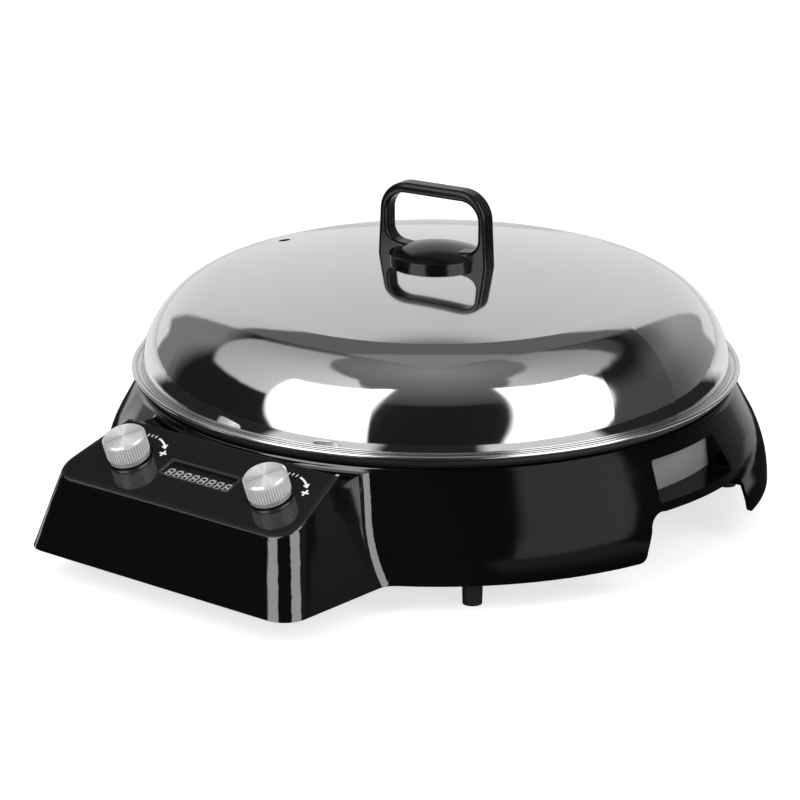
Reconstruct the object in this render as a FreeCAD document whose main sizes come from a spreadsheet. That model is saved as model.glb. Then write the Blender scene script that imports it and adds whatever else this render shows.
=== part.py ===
"""Electric injera maker: a round glossy housing on four feet with a sloped control console in front,
two rotary knobs, a numeric display, a coated cooking plate and a domed metal lid on a rear hinge.

Millimetres, +Z up, +X to the object's right, the console at -Y. The floor is z = 0 and the origin is
the middle of the object's outline on the floor, so the drum's axis stands at y = axis_back."""
import FreeCAD
import Part
import math
import os
import re

import Sketcher
from FreeCAD import Placement, Rotation, Vector

doc = FreeCAD.newDocument("InjeraMaker")

SIZES = [
    ("foot_height", 22.0, "floor to the lower edge of the skirt"),
    ("foot_radius", 7.5, "radius of a foot at its top"),
    ("foot_taper", 0.6, "how much smaller a foot is at the floor"),
    ("foot_in", 25.4, "skirt's edge to the middle of a foot"),
    ("foot_angle", 45.0, "turn of the feet from the X axis"),
    ("foot_post", 9.0, "radius of the moulded post above a foot"),
    ("shoulder_in", 0.5, "plate's rim to the shoulder below it"),
    ("flank_curve", 96.0, "radius of the flank's lower curve, upright at the skirt's edge"),
    ("knee_high", 47.0, "height at which that curve runs into the straight upper flank"),
    ("housing_height", 76.0, "height of the housing above its lower edge"),
    ("shoulder_round", 3.0, "size of the rounded shoulder"),
    ("wall", 3.0, "wall of the housing"),
    ("mouth_in", 11.0, "plate's rim to the edge of the opening that it drops into"),
    ("console_reach", 66.0, "how far the console stands out beyond the skirt"),
    ("console_half", 122.5, "half width of the console at that edge"),
    ("console_root_in", 97.4, "skirt's edge to where the console's sides end in the drum"),
    ("console_splay", 5.4, "how much wider the console is where it ends in the drum"),
    ("ridge_over", 2.0, "height of the console's ridge above the housing"),
    ("ridge_step", 0.2, "height of the ridge's flat above the upper end of the slope"),
    ("console_lean", 22.7, "how far the front face leans back up to ridge height"),
    ("console_side_lean", 17.4, "how far its sides lean in up to ridge height"),
    ("console_root_lean", 40.5, "how far they lean in where they end in the drum"),
    ("console_corner", 19.0, "radius of the console's two front corners"),
    ("panel_corner", 14.0, "radius of the control panel's two front corners"),
    ("console_blend", 13.0, "radius between the console's sides and the drum"),
    ("panel_slope", 20.4, "slope of the control face"),
    ("panel_length", 72.4, "length of the control face along its slope"),
    ("ridge_thick", 2.5, "thickness of the ridge behind the control face"),
    ("shelf_drop", 4.0, "housing's top to the flat behind the ridge"),
    ("rim_round", 2.0, "rounding of the console's upper edges"),
    ("panel_border", 4.0, "housing left visible around the control panel"),
    ("panel_thick", 2.5, "thickness of the control panel"),
    ("panel_gap", 0.15, "gap round the control panel"),
    ("panel_ledge", 5.0, "width of the ledge that carries the control panel"),
    ("knob_spread", 65.1, "middle of the panel to each knob"),
    ("knob_rise", 37.5, "lower edge of the control face to the knobs and the display"),
    ("well_radius", 16.8, "radius of the shallow well round a knob"),
    ("well_deep", 1.0, "depth of that well"),
    ("knob_radius", 15.5, "radius of a knob"),
    ("knob_tall", 18.1, "panel face to the top of a knob"),
    ("knob_collar", 4.2, "height of the plain collar under the flutes"),
    ("collar_step", 0.7, "how much smaller the collar is"),
    ("knob_chamfer", 1.2, "chamfer round the top of a knob"),
    ("flute_count", 48.0, "flutes round a knob"),
    ("flute_radius", 0.55, "radius of a flute"),
    ("knob_float", 0.5, "gap under a knob"),
    ("insert_radius", 8.0, "radius of the plastic insert in a knob"),
    ("insert_tall", 12.0, "height of that insert"),
    ("shaft_radius", 3.0, "radius of an encoder's shaft"),
    ("shaft_flat", 1.0, "depth of the flat on that shaft"),
    ("shaft_gap", 0.05, "running gap of the shaft in its bushing"),
    ("press_gap", 0.03, "gap of a pressed fit"),
    ("bushing_radius", 4.5, "outer radius of an encoder's bushing"),
    ("encoder_wide", 14.0, "side of an encoder's body"),
    ("encoder_tall", 7.0, "height of an encoder's body"),
    ("lens_wide", 61.4, "width of the display window"),
    ("lens_high", 13.2, "height of the display window"),
    ("lens_round", 1.5, "corner radius of the display window"),
    ("lens_thick", 1.0, "thickness of the display window"),
    ("lens_drop", 1.2, "how far the display window lies below the panel"),
    ("lens_bevel", 0.7, "bevel round the display opening"),
    ("module_margin", 4.0, "how far the display module reaches past its window"),
    ("module_thick", 3.5, "thickness of the display module"),
    ("board_drop", 13.0, "panel face to the top of the control board"),
    ("board_thick", 1.6, "thickness of a circuit board"),
    ("board_wide", 176.0, "width of the control board"),
    ("board_high", 44.0, "height of the control board along the slope"),
    ("board_screw_in", 5.0, "board edge to the middle of a board screw"),
    ("screw_radius", 1.5, "radius of a small screw"),
    ("screw_gap", 0.1, "gap round a screw in the part that it passes through"),
    ("cover_thick", 2.0, "thickness of the bottom cover"),
    ("cover_sunk", 1.0, "how far the bottom cover lies above the skirt's edge"),
    ("cover_gap", 0.6, "gap round the bottom cover"),
    ("grip_in", 62.4, "skirt's edge to the inner wall of a hand recess"),
    ("grip_half", 110.0, "half length of a hand recess"),
    ("notch_high", 31.5, "height of the arch in the skirt"),
    ("notch_low_half", 66.0, "half width of the arch at the skirt's edge"),
    ("notch_top_half", 53.0, "half width of the arch under the bar"),
    ("notch_round", 11.0, "radius of the arch's upper corners"),
    ("notch_toe", 7.0, "radius of the arch's lower corners"),
    ("bar_high", 5.8, "height of the bar between the arch and the window"),
    ("window_head", 11.7, "top of a grip window to the top of the housing"),
    ("window_low_half", 44.8, "half width of a grip window at the bar"),
    ("window_top_half", 37.8, "half width of a grip window at its top"),
    ("window_round", 3.0, "corner radius of a grip window"),
    ("pocket_in", 1.5, "shoulder's edge to the back wall of a grip window"),
    ("seat_thick", 2.7, "thickness of the ring between housing and plate"),
    ("seat_in", 10.0, "plate's rim to the inner edge of that ring"),
    ("seat_step", 4.0, "plate's rim to the outer edge of that ring"),
    ("rim_wide", 17.8, "width of the plate's border round the cooking face"),
    ("plate_rim", 4.1, "thickness of the plate's rim"),
    ("plate_lip", 2.8, "height of the rim above the cooking face"),
    ("cook_radius", 203.2, "radius of the flat cooking face, 16 inches across"),
    ("lip_run", 3.0, "width of the slope up to the rim"),
    ("plate_drop", 4.2, "how far the plate's underside lies below its rim"),
    ("drop_gap", 2.0, "gap between the plate's lower part and the mouth"),
    ("edge_round", 1.0, "rounding of the plate's rim"),
    ("element_tube", 4.0, "radius of the sheathed element"),
    ("element_in", 38.2, "edge of the cooking face to the outer element ring"),
    ("element_step", 70.0, "outer to inner element ring"),
    ("element_gap_turn", 30.0, "opening of each element ring"),
    ("pin_radius", 2.5, "radius of an element's cold end"),
    ("pin_below", 9.0, "how far the cold ends stand below the pan"),
    ("clamp_wide", 12.0, "width of an element clamp"),
    ("clamp_thick", 1.5, "thickness of an element clamp"),
    ("clamp_over", 9.0, "how far a clamp reaches past the element rings"),
    ("boss_radius", 5.5, "radius of a screw boss under the plate"),
    ("pan_in", 20.0, "plate's rim to the heat pan's wall"),
    ("pan_floor", 38.0, "height of the pan's floor above the skirt's edge"),
    ("pan_sheet", 1.0, "sheet of the heat pan"),
    ("pan_flange_in", 5.5, "plate's rim to the edge of the pan's flange"),
    ("pan_screw_in", 8.5, "plate's rim to the pan's screws"),
    ("pad_thick", 14.0, "thickness of the insulation"),
    ("pad_gap", 1.0, "gap round the insulation"),
    ("sensor_radius", 6.0, "radius of the temperature sensor"),
    ("sensor_tall", 10.0, "height of the temperature sensor"),
    ("sensor_stem", 3.0, "radius of the sensor's sprung stem"),
    ("fuse_radius", 2.2, "radius of the thermal fuse"),
    ("fuse_long", 12.0, "length of the thermal fuse"),
    ("fuse_in", 15.0, "outer element ring to the thermal fuse"),
    ("bay_board_wide", 150.0, "width of the power board"),
    ("bay_board_deep", 62.0, "depth of the power board"),
    ("bay_in", 91.4, "console's front to the power board"),
    ("standoff_tall", 8.0, "height of a standoff"),
    ("standoff_radius", 3.5, "radius of a standoff"),
    ("inlet_wide", 30.0, "width of the mains inlet's flange"),
    ("inlet_high", 23.0, "height of the mains inlet's flange"),
    ("inlet_deep", 22.0, "depth of the mains inlet's body behind its flange"),
    ("inlet_flange", 2.5, "thickness of the mains inlet's flange"),
    ("inlet_lip", 2.0, "wall of the mains inlet round its socket"),
    ("inlet_socket", 17.0, "depth of the socket"),
    ("inlet_rise", 20.0, "height of the mains inlet above the skirt's edge"),
    ("inlet_in", 13.4, "skirt's edge to the flat that the inlet is fixed on"),
    ("inlet_bay", 4.0, "room round the inlet's flange"),
    ("inlet_ears", 5.0, "how far the inlet's screw ears stand out"),
    ("blade_thick", 2.0, "thickness of a contact pin"),
    ("blade_high", 4.0, "height of a contact pin"),
    ("blade_spread", 7.0, "distance between contact pins"),
    ("lead_radius", 1.3, "radius of an internal lead"),
    ("lead_side", 20.0, "how far to the side the supply leads run"),
    ("lead_dip", 14.0, "length over which a lead runs down to the floor"),
    ("lead_drop", 8.0, "how far a lead hangs down from an element pin"),
    ("relay_long", 20.0, "length of the relay"),
    ("relay_deep", 16.0, "width of the relay"),
    ("relay_high", 15.0, "height of the relay"),
    ("relay_in", 14.0, "power board's side edge to the relay, and its rear edge to it"),
    ("sink_long", 44.0, "length of the heat sink"),
    ("sink_high", 18.0, "height of the heat sink"),
    ("sink_back", 3.0, "thickness of the heat sink's back"),
    ("sink_in", 43.0, "power board's rear edge to the heat sink's back"),
    ("fin_count", 7.0, "fins of the heat sink"),
    ("fin_deep", 12.0, "depth of a fin"),
    ("fin_thick", 2.0, "thickness of a fin"),
    ("switch_wide", 10.0, "width of the switching device"),
    ("switch_thick", 4.5, "thickness of the switching device"),
    ("switch_high", 15.0, "height of the switching device"),
    ("coil_long", 30.0, "length of the transformer"),
    ("coil_deep", 26.0, "width of the transformer"),
    ("coil_high", 20.0, "height of the transformer"),
    ("coil_in", 10.0, "power board's side edge to the transformer"),
    ("coil_back", 24.0, "power board's rear edge to the transformer"),
    ("chip_side", 12.0, "side of the control chip"),
    ("chip_high", 2.0, "height of the control chip"),
    ("pin_count", 10.0, "pins of the display module"),
    ("pin_side", 1.0, "side of such a pin"),
    ("terminal_deep", 10.0, "width of the terminal block"),
    ("terminal_well", 2.0, "radius of a terminal's screw well"),
    ("terminal_pitch", 6.6, "distance between terminals"),
    ("terminal_high", 12.0, "height of the terminal block"),
    ("lid_over", 4.0, "how far the lid reaches past the plate"),
    ("flange_wide", 7.0, "width of the lid's flange"),
    ("dome_shoulder", 68.6, "radius of the lid's shoulder"),
    ("dome_spring", 2.4, "how far the shoulder's centre lies below the lid's seat"),
    ("dome_rise", 80.7, "height of the lid above its seat"),
    ("lid_sheet", 1.0, "sheet of the lid"),
    ("bead_radius", 1.7, "radius of the lid's rolled edge"),
    ("vent_radius", 4.5, "radius of the steam vent"),
    ("vent_in", 71.0, "lid's wall to the steam vent"),
    ("handle_half", 46.2, "half width of the handle at its feet"),
    ("handle_waist", 44.6, "half width of the handle under its round corners"),
    ("handle_corner", 22.5, "radius of the handle's corners"),
    ("handle_top", 55.0, "lid's top to the handle's top"),
    ("handle_bar", 8.0, "thickness of the handle's bar"),
    ("handle_leg", 6.3, "thickness of the handle's legs"),
    ("handle_deep", 14.9, "depth of the handle"),
    ("handle_inner_corner", 14.5, "radius of the opening's upper corners"),
    ("handle_foot_curve", 10.8, "radius of the opening's lower corners"),
    ("handle_foot_rise", 9.2, "lid's top to the lower end of those corners"),
    ("handle_soft", 3.0, "rounding of the handle's long edges"),
    ("handle_turn", 8.0, "how far the handle is turned on its screw"),
    ("disc_radius", 34.5, "radius of the handle's round foot"),
    ("disc_edge", 4.0, "height of the round foot at its edge"),
    ("disc_rise", 11.0, "height of the round foot in its middle"),
    ("handle_sink", 3.0, "depth below the lid's top to which the blanks reach before the seat is cut"),
    ("stud_radius", 2.5, "radius of the handle's screw"),
    ("stud_long", 8.0, "length of the handle's screw above the lid"),
    ("washer_radius", 9.0, "radius of the handle's washer"),
    ("washer_gap", 0.2, "gap under the lid's curve above that washer"),
    ("washer_thick", 1.5, "thickness of that washer"),
    ("hinge_out", 11.5, "lid's edge to the hinge pin"),
    ("hinge_rise", 7.4, "hinge pin above the lid's seat"),
    ("hinge_pin_radius", 2.5, "radius of the hinge pin"),
    ("hinge_pin_gap", 0.05, "running gap of the hinge pin"),
    ("barrel_radius", 5.5, "radius of the lid bracket's barrel"),
    ("barrel_half", 12.7, "half length of that barrel"),
    ("ear_gap", 0.3, "gap between the barrel and an ear"),
    ("ear_thick", 6.0, "thickness of a hinge ear"),
    ("ear_boss", 6.0, "radius of a hinge ear round the pin"),
    ("ear_foot", 33.0, "how far down the flank an ear reaches"),
    ("pin_head", 4.0, "radius of the hinge pin's heads"),
    ("pin_head_thick", 1.5, "thickness of the hinge pin's heads"),
    ("arm_thick", 2.5, "thickness of the bracket's arm"),
    ("leaf_thick", 1.6, "thickness of the bracket's leaf on the lid"),
    ("leaf_high", 22.0, "height of the bracket's leaf"),
    ("leaf_half", 17.0, "half width of the bracket's leaf"),
    ("rivet_radius", 2.0, "radius of a bracket rivet"),
    ("rivet_head", 3.6, "radius of a rivet's head"),
    ("rivet_spread", 9.5, "middle of the leaf to each rivet"),
    ("open_turn", 85.0, "how far the lid opens"),
    ("heel_long", 4.8, "length of the heel that stops the lid"),
    ("heel_thick", 3.0, "thickness of that heel"),
    ("stop_gap", 0.3, "gap between heel and stop at the open limit"),
    ("stop_high", 6.0, "height of the bar that the heel meets"),
]
NAMES = {name for name, _, _ in SIZES}

sheet = doc.addObject("Spreadsheet::Sheet", "Sizes")
for row, (name, number, note) in enumerate(SIZES, 1):
    sheet.set(f"A{row}", name)
    sheet.set(f"B{row}", str(number))
    sheet.set(f"C{row}", note)
    sheet.setAlias(f"B{row}", name)
doc.recompute()

# Heights and places that several pieces share, each written once as a formula on the sheet's sizes
SHARED = {
    "plate_radius": "(cook_radius + rim_wide)",
    "shoulder_radius": "(plate_radius - shoulder_in)",
    "knee_in": "sqrt(flank_curve * flank_curve - knee_high * knee_high)",
    "flank_run": "((housing_height - shoulder_round - knee_high) * knee_high / knee_in)",
    "skirt_radius": "(shoulder_radius + flank_run + flank_curve - knee_in)",
    "mouth_radius": "(plate_radius - mouth_in)",
    "foot_circle": "(skirt_radius - foot_in)",
    "console_front": "(skirt_radius + console_reach)",
    "console_root": "(skirt_radius - console_root_in)",
    "console_root_half": "(console_half + console_splay)",
    "console_tall": "(housing_height + ridge_over)",
    "console_top_front": "(console_front - console_lean)",
    "console_top_half": "(console_half - console_side_lean)",
    "console_top_root_half": "(console_half + console_splay - console_root_lean)",
    "panel_height": "(console_tall - ridge_step - panel_length * sin(panel_slope))",
    "panel_front": "(console_front - console_lean * panel_height / console_tall)",
    "shelf_height": "(housing_height - shelf_drop)",
    "grip_wall": "(skirt_radius - grip_in)",
    "pocket_back": "(shoulder_radius - pocket_in)",
    "window_high": "(housing_height - notch_high - bar_high - window_head)",
    "seat_inner": "(plate_radius - seat_in)",
    "seat_outer": "(plate_radius - seat_step)",
    "element_outer": "(cook_radius - element_in)",
    "element_inner": "(cook_radius - element_in - element_step)",
    "clamp_circle": "(cook_radius - element_in - element_step / 2)",
    "fuse_out": "(element_outer - fuse_in)",
    "pan_radius": "(plate_radius - pan_in)",
    "pan_flange": "(plate_radius - pan_flange_in)",
    "pan_screw_circle": "(plate_radius - pan_screw_in)",
    "bay_board_back": "(console_front - bay_in)",
    "inlet_face": "(skirt_radius - inlet_in)",
    "lid_radius": "(plate_radius + lid_over)",
    "dome_radius": "(lid_radius - flange_wide)",
    "vent_out": "(dome_radius - vent_in)",
    "hinge_back": "(lid_radius + hinge_out)",
    "axis_back": "(console_front - skirt_radius) / 2",
    "housing_top": "(foot_height + housing_height)",
    "seat_top": "(foot_height + housing_height + seat_thick)",
    "rim_top": "(foot_height + housing_height + seat_thick + plate_rim)",
    "plate_under": "(foot_height + housing_height + seat_thick - plate_drop)",
    "lid_top": "(foot_height + housing_height + seat_thick + plate_rim + dome_rise)",
    "lid_spring": "(foot_height + housing_height + seat_thick + plate_rim - dome_spring)",
    "crown_across": "(dome_radius - dome_shoulder)",
    "crown_up": "(dome_rise + dome_spring)",
    "panel_z": "(foot_height + panel_height)",
    "ridge_y": "(panel_front - panel_length * cos(panel_slope))",
    "bar_low": "(foot_height + notch_high)",
    "bar_top": "(foot_height + notch_high + bar_high)",
    "cover_low": "(foot_height + cover_sunk)",
    "cover_top": "(foot_height + cover_sunk + cover_thick)",
    "pan_low": "(foot_height + pan_floor)",
    "pan_top": "(foot_height + housing_height - wall)",
    "tube_low": "(foot_height + housing_height + seat_thick - plate_drop - 2 * element_tube)",
    "hinge_z": "(foot_height + housing_height + seat_thick + plate_rim + hinge_rise)",
    "inlet_z": "(foot_height + inlet_rise)",
    "front_half": "(console_half - (console_half - console_top_half) * panel_height / console_tall)",
    "board_z": "(foot_height + cover_sunk + cover_thick + standoff_tall)",
    "parts_z": "(foot_height + cover_sunk + cover_thick + standoff_tall + board_thick)",
    "rivet_z": "(rim_top + 2 * bead_radius + leaf_high * 0.6)",
    "ear_back": "(hinge_back + barrel_radius + heel_long)",
}
WORD = re.compile(r"\b[a-z]+(?:_[a-z]+)*\b")


def full(text):
    """Turn a formula in plain size names into one that a document object understands."""
    def swap(match):
        word = match.group(0)
        if word in SHARED:
            return full(SHARED[word])
        return f"Sizes.{word}" if word in NAMES else word
    return WORD.sub(swap, str(text))


def num(text):
    """The present value of a formula."""
    result = sheet.evalExpression(full(text))
    return float(getattr(result, "Value", result))


def bind(thing, **formulas):
    """Drive properties of a document object from the sheet; a double underscore stands for a dot."""
    for prop, text in formulas.items():
        thing.setExpression(prop.replace("__", "."), full(text))


def make(kind, name):
    return doc.addObject(kind, name)


def place(thing, x="0", y="0", z="0", tilt=None, axis=None):
    if tilt is not None:
        thing.Placement = Placement(Vector(), Rotation(axis, num(tilt)))
        thing.setExpression("Placement.Rotation.Angle", full(tilt))
    bind(thing, Placement__Base__x=x, Placement__Base__y=y, Placement__Base__z=z)


def box(name, wide, deep, tall, x, y, z):
    thing = make("Part::Box", name)
    bind(thing, Length=wide, Width=deep, Height=tall)
    place(thing, x, y, z)
    return thing


def rod(name, radius, tall, x="0", y="0", z="0", along="Z"):
    thing = make("Part::Cylinder", name)
    bind(thing, Radius=radius, Height=tall)
    if along == "X":
        thing.Placement = Placement(Vector(), Rotation(Vector(0, 1, 0), 90))
    if along == "Y":
        thing.Placement = Placement(Vector(), Rotation(Vector(1, 0, 0), -90))
    bind(thing, Placement__Base__x=x, Placement__Base__y=y, Placement__Base__z=z)
    return thing


def fuse(name, *parts):
    thing = make("Part::MultiFuse", name)
    thing.Shapes = list(parts)
    return thing


def common(name, *parts):
    thing = make("Part::MultiCommon", name)
    thing.Shapes = list(parts)
    return thing


def cut(name, base, *tools):
    thing = make("Part::Cut", name)
    thing.Base = base
    thing.Tool = tools[0] if len(tools) == 1 else fuse(name + "_tools", *tools)
    return thing


def pack_together(name, *parts):
    """Several like solids that share one name."""
    thing = make("Part::Compound", name)
    thing.Links = list(parts)
    return thing


def draw(sketch, corners, curves=None):
    """Close an outline through the corners. curves maps the number of a side to the radius of its arc
    and to 1 where the arc's centre lies left of the side, or -1 where it lies right."""
    curves = curves or {}
    spots = [(num(x), num(y)) for x, y in corners]
    first = sketch.GeometryCount
    count = len(spots)
    swapped = {}
    for side in range(count):
        (ax, ay), (bx, by) = spots[side], spots[(side + 1) % count]
        a, b = Vector(ax, ay, 0), Vector(bx, by, 0)
        if side not in curves:
            sketch.addGeometry(Part.LineSegment(a, b), False)
            continue
        radius, hand = num(curves[side][0]), curves[side][1]
        chord = b - a
        reach = math.sqrt(radius ** 2 - (chord.Length / 2) ** 2)
        left = Vector(-chord.y, chord.x, 0).normalize()
        middle = (a + b) * 0.5 + left * (reach * hand)
        circle = Part.Circle(middle, Vector(0, 0, 1), radius)
        start, end = (a, b) if hand > 0 else (b, a)
        swapped[side] = hand < 0
        sketch.addGeometry(Part.ArcOfCircle(circle, circle.parameter(start), circle.parameter(end)), False)
    for side in range(count):
        here = 2 if swapped.get(side) else 1
        gone = 1 if swapped.get(side) else 2
        following = (side + 1) % count
        start_next = 2 if swapped.get(following) else 1
        sketch.addConstraint(Sketcher.Constraint("Coincident", first + side, gone,
                                                 first + following, start_next))
        for kind, value, text in (("DistanceX", spots[side][0], corners[side][0]),
                                  ("DistanceY", spots[side][1], corners[side][1])):
            index = sketch.addConstraint(Sketcher.Constraint(kind, -1, 1, first + side, here, value))
            sketch.setExpression(f"Constraints[{index}]", full(text))
        if side in curves:
            value = num(curves[side][0])
            index = sketch.addConstraint(Sketcher.Constraint("Radius", first + side, value))
            sketch.setExpression(f"Constraints[{index}]", full(curves[side][0]))


def draw_circle(sketch, x, y, radius):
    number = sketch.addGeometry(Part.Circle(Vector(num(x), num(y), 0), Vector(0, 0, 1), num(radius)), False)
    for kind, text in (("DistanceX", x), ("DistanceY", y)):
        index = sketch.addConstraint(Sketcher.Constraint(kind, -1, 1, number, 3, num(text)))
        sketch.setExpression(f"Constraints[{index}]", full(text))
    index = sketch.addConstraint(Sketcher.Constraint("Radius", number, num(radius)))
    sketch.setExpression(f"Constraints[{index}]", full(radius))


def free_sketch(name, corners, curves=None, upright=False, z="0"):
    """A sketch of its own: flat at height z, or upright in the XZ plane."""
    sketch = make("Sketcher::SketchObject", name)
    if upright:
        sketch.Placement = Placement(Vector(), Rotation(Vector(1, 0, 0), 90))
    else:
        bind(sketch, Placement__Base__z=z)
    draw(sketch, corners, curves)
    return sketch


def spin(name, corners, curves=None):
    """A solid turned about the Z axis from an outline of radius and height."""
    thing = make("Part::Revolution", name)
    thing.Source = free_sketch(name + "_outline", corners, curves, upright=True)
    thing.Axis = Vector(0, 0, 1)
    thing.Angle = 360
    thing.Solid = True
    return thing


def mirror(name, source, normal):
    thing = make("Part::Mirroring", name)
    thing.Source = source
    thing.Normal = normal
    return thing


def round_edges(name, source, picks):
    """Round edges of a finished shape. picks is a list of a test on an edge and a radius formula."""
    doc.recompute()
    thing = make("Part::Fillet", name)
    thing.Base = source
    edges = []
    for test, radius in picks:
        found = [n for n, edge in enumerate(source.Shape.Edges, 1) if test(edge)]
        if not found:
            raise RuntimeError(f"{name}: no edge to round")
        edges += [(n, num(radius), num(radius)) for n in found]
    thing.Edges = edges
    return thing


def body_of(name):
    return make("PartDesign::Body", name)


def body_sketch(body, name, role="XY_Plane", lift=None):
    plane = next(item for item in body.Origin.OriginFeatures if item.Role == role)
    sketch = body.newObject("Sketcher::SketchObject", name)
    sketch.AttachmentSupport = (plane, "")
    sketch.MapMode = "FlatFace"
    if lift is not None:
        sketch.setExpression("AttachmentOffset.Base.z", full(lift))
    return sketch


def pad(body, name, sketch, length, down=False, both=False):
    feature = body.newObject("PartDesign::Pad", name)
    feature.Profile = sketch
    feature.Reversed = down
    feature.Midplane = both
    bind(feature, Length=length)
    return feature


def pocket(body, name, sketch, length, up=False, both=False):
    """Take a pocket away and make sure that it really cuts."""
    doc.recompute()
    before = body.Shape.Volume
    feature = body.newObject("PartDesign::Pocket", name)
    feature.Profile = sketch
    feature.Reversed = up
    feature.Midplane = both
    bind(feature, Length=length)
    doc.recompute()
    if body.Shape.Volume > before - 1e-6:
        raise RuntimeError(f"{name} cuts nothing")
    return feature


def turn(body, name, sketch):
    feature = body.newObject("PartDesign::Revolution", name)
    feature.Profile = sketch
    feature.ReferenceAxis = (sketch, ["V_Axis"])
    feature.Angle = 360
    return feature


def soften(body, name, test, radius, kind="PartDesign::Fillet"):
    doc.recompute()
    base = body.Tip
    found = [f"Edge{n}" for n, edge in enumerate(base.Shape.Edges, 1) if test(edge)]
    if not found:
        raise RuntimeError(f"{name}: no edge to soften")
    feature = body.newObject(kind, name)
    feature.Base = (base, found)
    bind(feature, **{"Radius" if kind.endswith("Fillet") else "Size": radius})
    return feature


def ends(edge):
    return edge.Vertexes[0].Point, edge.Vertexes[-1].Point


PIECES = []


def whole(thing):
    """A primitive keeps its own place, so it is carried inside a piece that can be placed anew."""
    if thing.TypeId in ("Part::Box", "Part::Cylinder"):
        return pack_together(thing.Name + "_piece", thing)
    return thing


def on_drum(thing, label, turned=None):
    """Name a finished piece that is drawn about the drum's axis and stand it in the object's frame."""
    thing = whole(thing)
    thing.Label = label
    if turned is not None:
        thing.Placement = Placement(Vector(), Rotation(Vector(0, 0, 1), num(turned)))
        thing.setExpression("Placement.Rotation.Angle", full(turned))
    bind(thing, Placement__Base__y="axis_back")
    PIECES.append(thing)
    return thing


def on_panel(thing, label, x="0"):
    """Name a finished piece that is drawn on the sloped control face and lay it there."""
    thing = whole(thing)
    thing.Label = label
    thing.Placement = Placement(Vector(), Rotation(Vector(1, 0, 0), num("panel_slope")))
    thing.setExpression("Placement.Rotation.Angle", full("panel_slope"))
    bind(thing, Placement__Base__x=x, Placement__Base__y="axis_back - panel_front",
         Placement__Base__z="panel_z")
    PIECES.append(thing)
    return thing


def slope_cutter(name, sink):
    """A block over the sloped face, sunk by a depth below it, that ends at the ridge."""
    over, side = 60, 260
    thing = make("Part::Box", name)
    bind(thing, Length=f"{2 * side}", Width=f"{over} + panel_length", Height="housing_height")
    place(thing, f"-{side}",
          f"-panel_front - {over} * cos(panel_slope) + ({sink}) * sin(panel_slope)",
          f"panel_z - {over} * sin(panel_slope) - ({sink}) * cos(panel_slope)",
          tilt="panel_slope", axis=Vector(1, 0, 0))
    return thing


def console_block(name, inset, sink, shelf):
    """The console as a solid, drawn in by an inset, with its sloped face, its ridge and its shelf."""
    low = free_sketch(name + "_low", [
        (f"{inset} - console_half", f"{inset} - console_front"),
        (f"console_half - {inset}", f"{inset} - console_front"),
        (f"console_root_half - {inset}", "-console_root"),
        (f"{inset} - console_root_half", "-console_root")], z="foot_height")
    high = free_sketch(name + "_high", [
        (f"{inset} - console_top_half", f"{inset} - console_top_front"),
        (f"console_top_half - {inset}", f"{inset} - console_top_front"),
        (f"console_top_root_half - {inset}", "-console_root"),
        (f"{inset} - console_top_root_half", "-console_root")], z="foot_height + console_tall")
    loft = make("Part::Loft", name + "_loft")
    loft.Sections = [low, high]
    loft.Ruled = True
    loft.Solid = True

    def front_corner(edge):
        a, b = ends(edge)
        return abs(a.z - b.z) > num("console_tall") / 2 and max(a.y, b.y) < -num("console_root") - 1

    rounded = round_edges(name + "_rounded", loft, [(front_corner, f"console_corner - {inset}")])
    behind = box(name + "_behind", "4 * console_half", "console_front", "housing_height",
                 "-2 * console_half", "ridge_thick - ridge_y", f"foot_height + {shelf}")
    return cut(name, rounded, slope_cutter(name + "_slope", sink), behind)


def drum_block():
    return spin("drum_block", [
        ("0", "foot_height"), ("skirt_radius", "foot_height"),
        ("shoulder_radius + flank_run", "foot_height + knee_high"),
        ("shoulder_radius", "housing_top - shoulder_round"),
        ("shoulder_radius - shoulder_round * 0.9", "housing_top"), ("0", "housing_top")],
        {1: ("flank_curve", 1), 3: ("shoulder_round * 1.1", 1)})


def drum_cavity():
    """The room inside the housing, the wall's thickness away from the flank and the top."""
    inner = "(flank_curve - wall) / flank_curve"
    return spin("drum_cavity", [
        ("0", "foot_height"), ("skirt_radius - wall", "foot_height"),
        (f"skirt_radius - flank_curve + knee_in * {inner}", f"foot_height + knee_high * {inner}"),
        ("shoulder_radius + (wall - shoulder_round) * knee_high / knee_in - wall * flank_curve / knee_in",
         "housing_top - wall"),
        ("mouth_radius", "housing_top - wall"), ("mouth_radius", "housing_top + wall"),
        ("0", "housing_top + wall")], {1: ("flank_curve - wall", 1)})


def upright_prism(name, corners, curves, start, length):
    """A prism along X from an outline of y and height."""
    body = body_of(name)
    sketch = body_sketch(body, name + "_outline", "YZ_Plane", lift=start)
    draw(sketch, corners, curves)
    pad(body, name + "_length", sketch, length)
    return body


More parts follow.
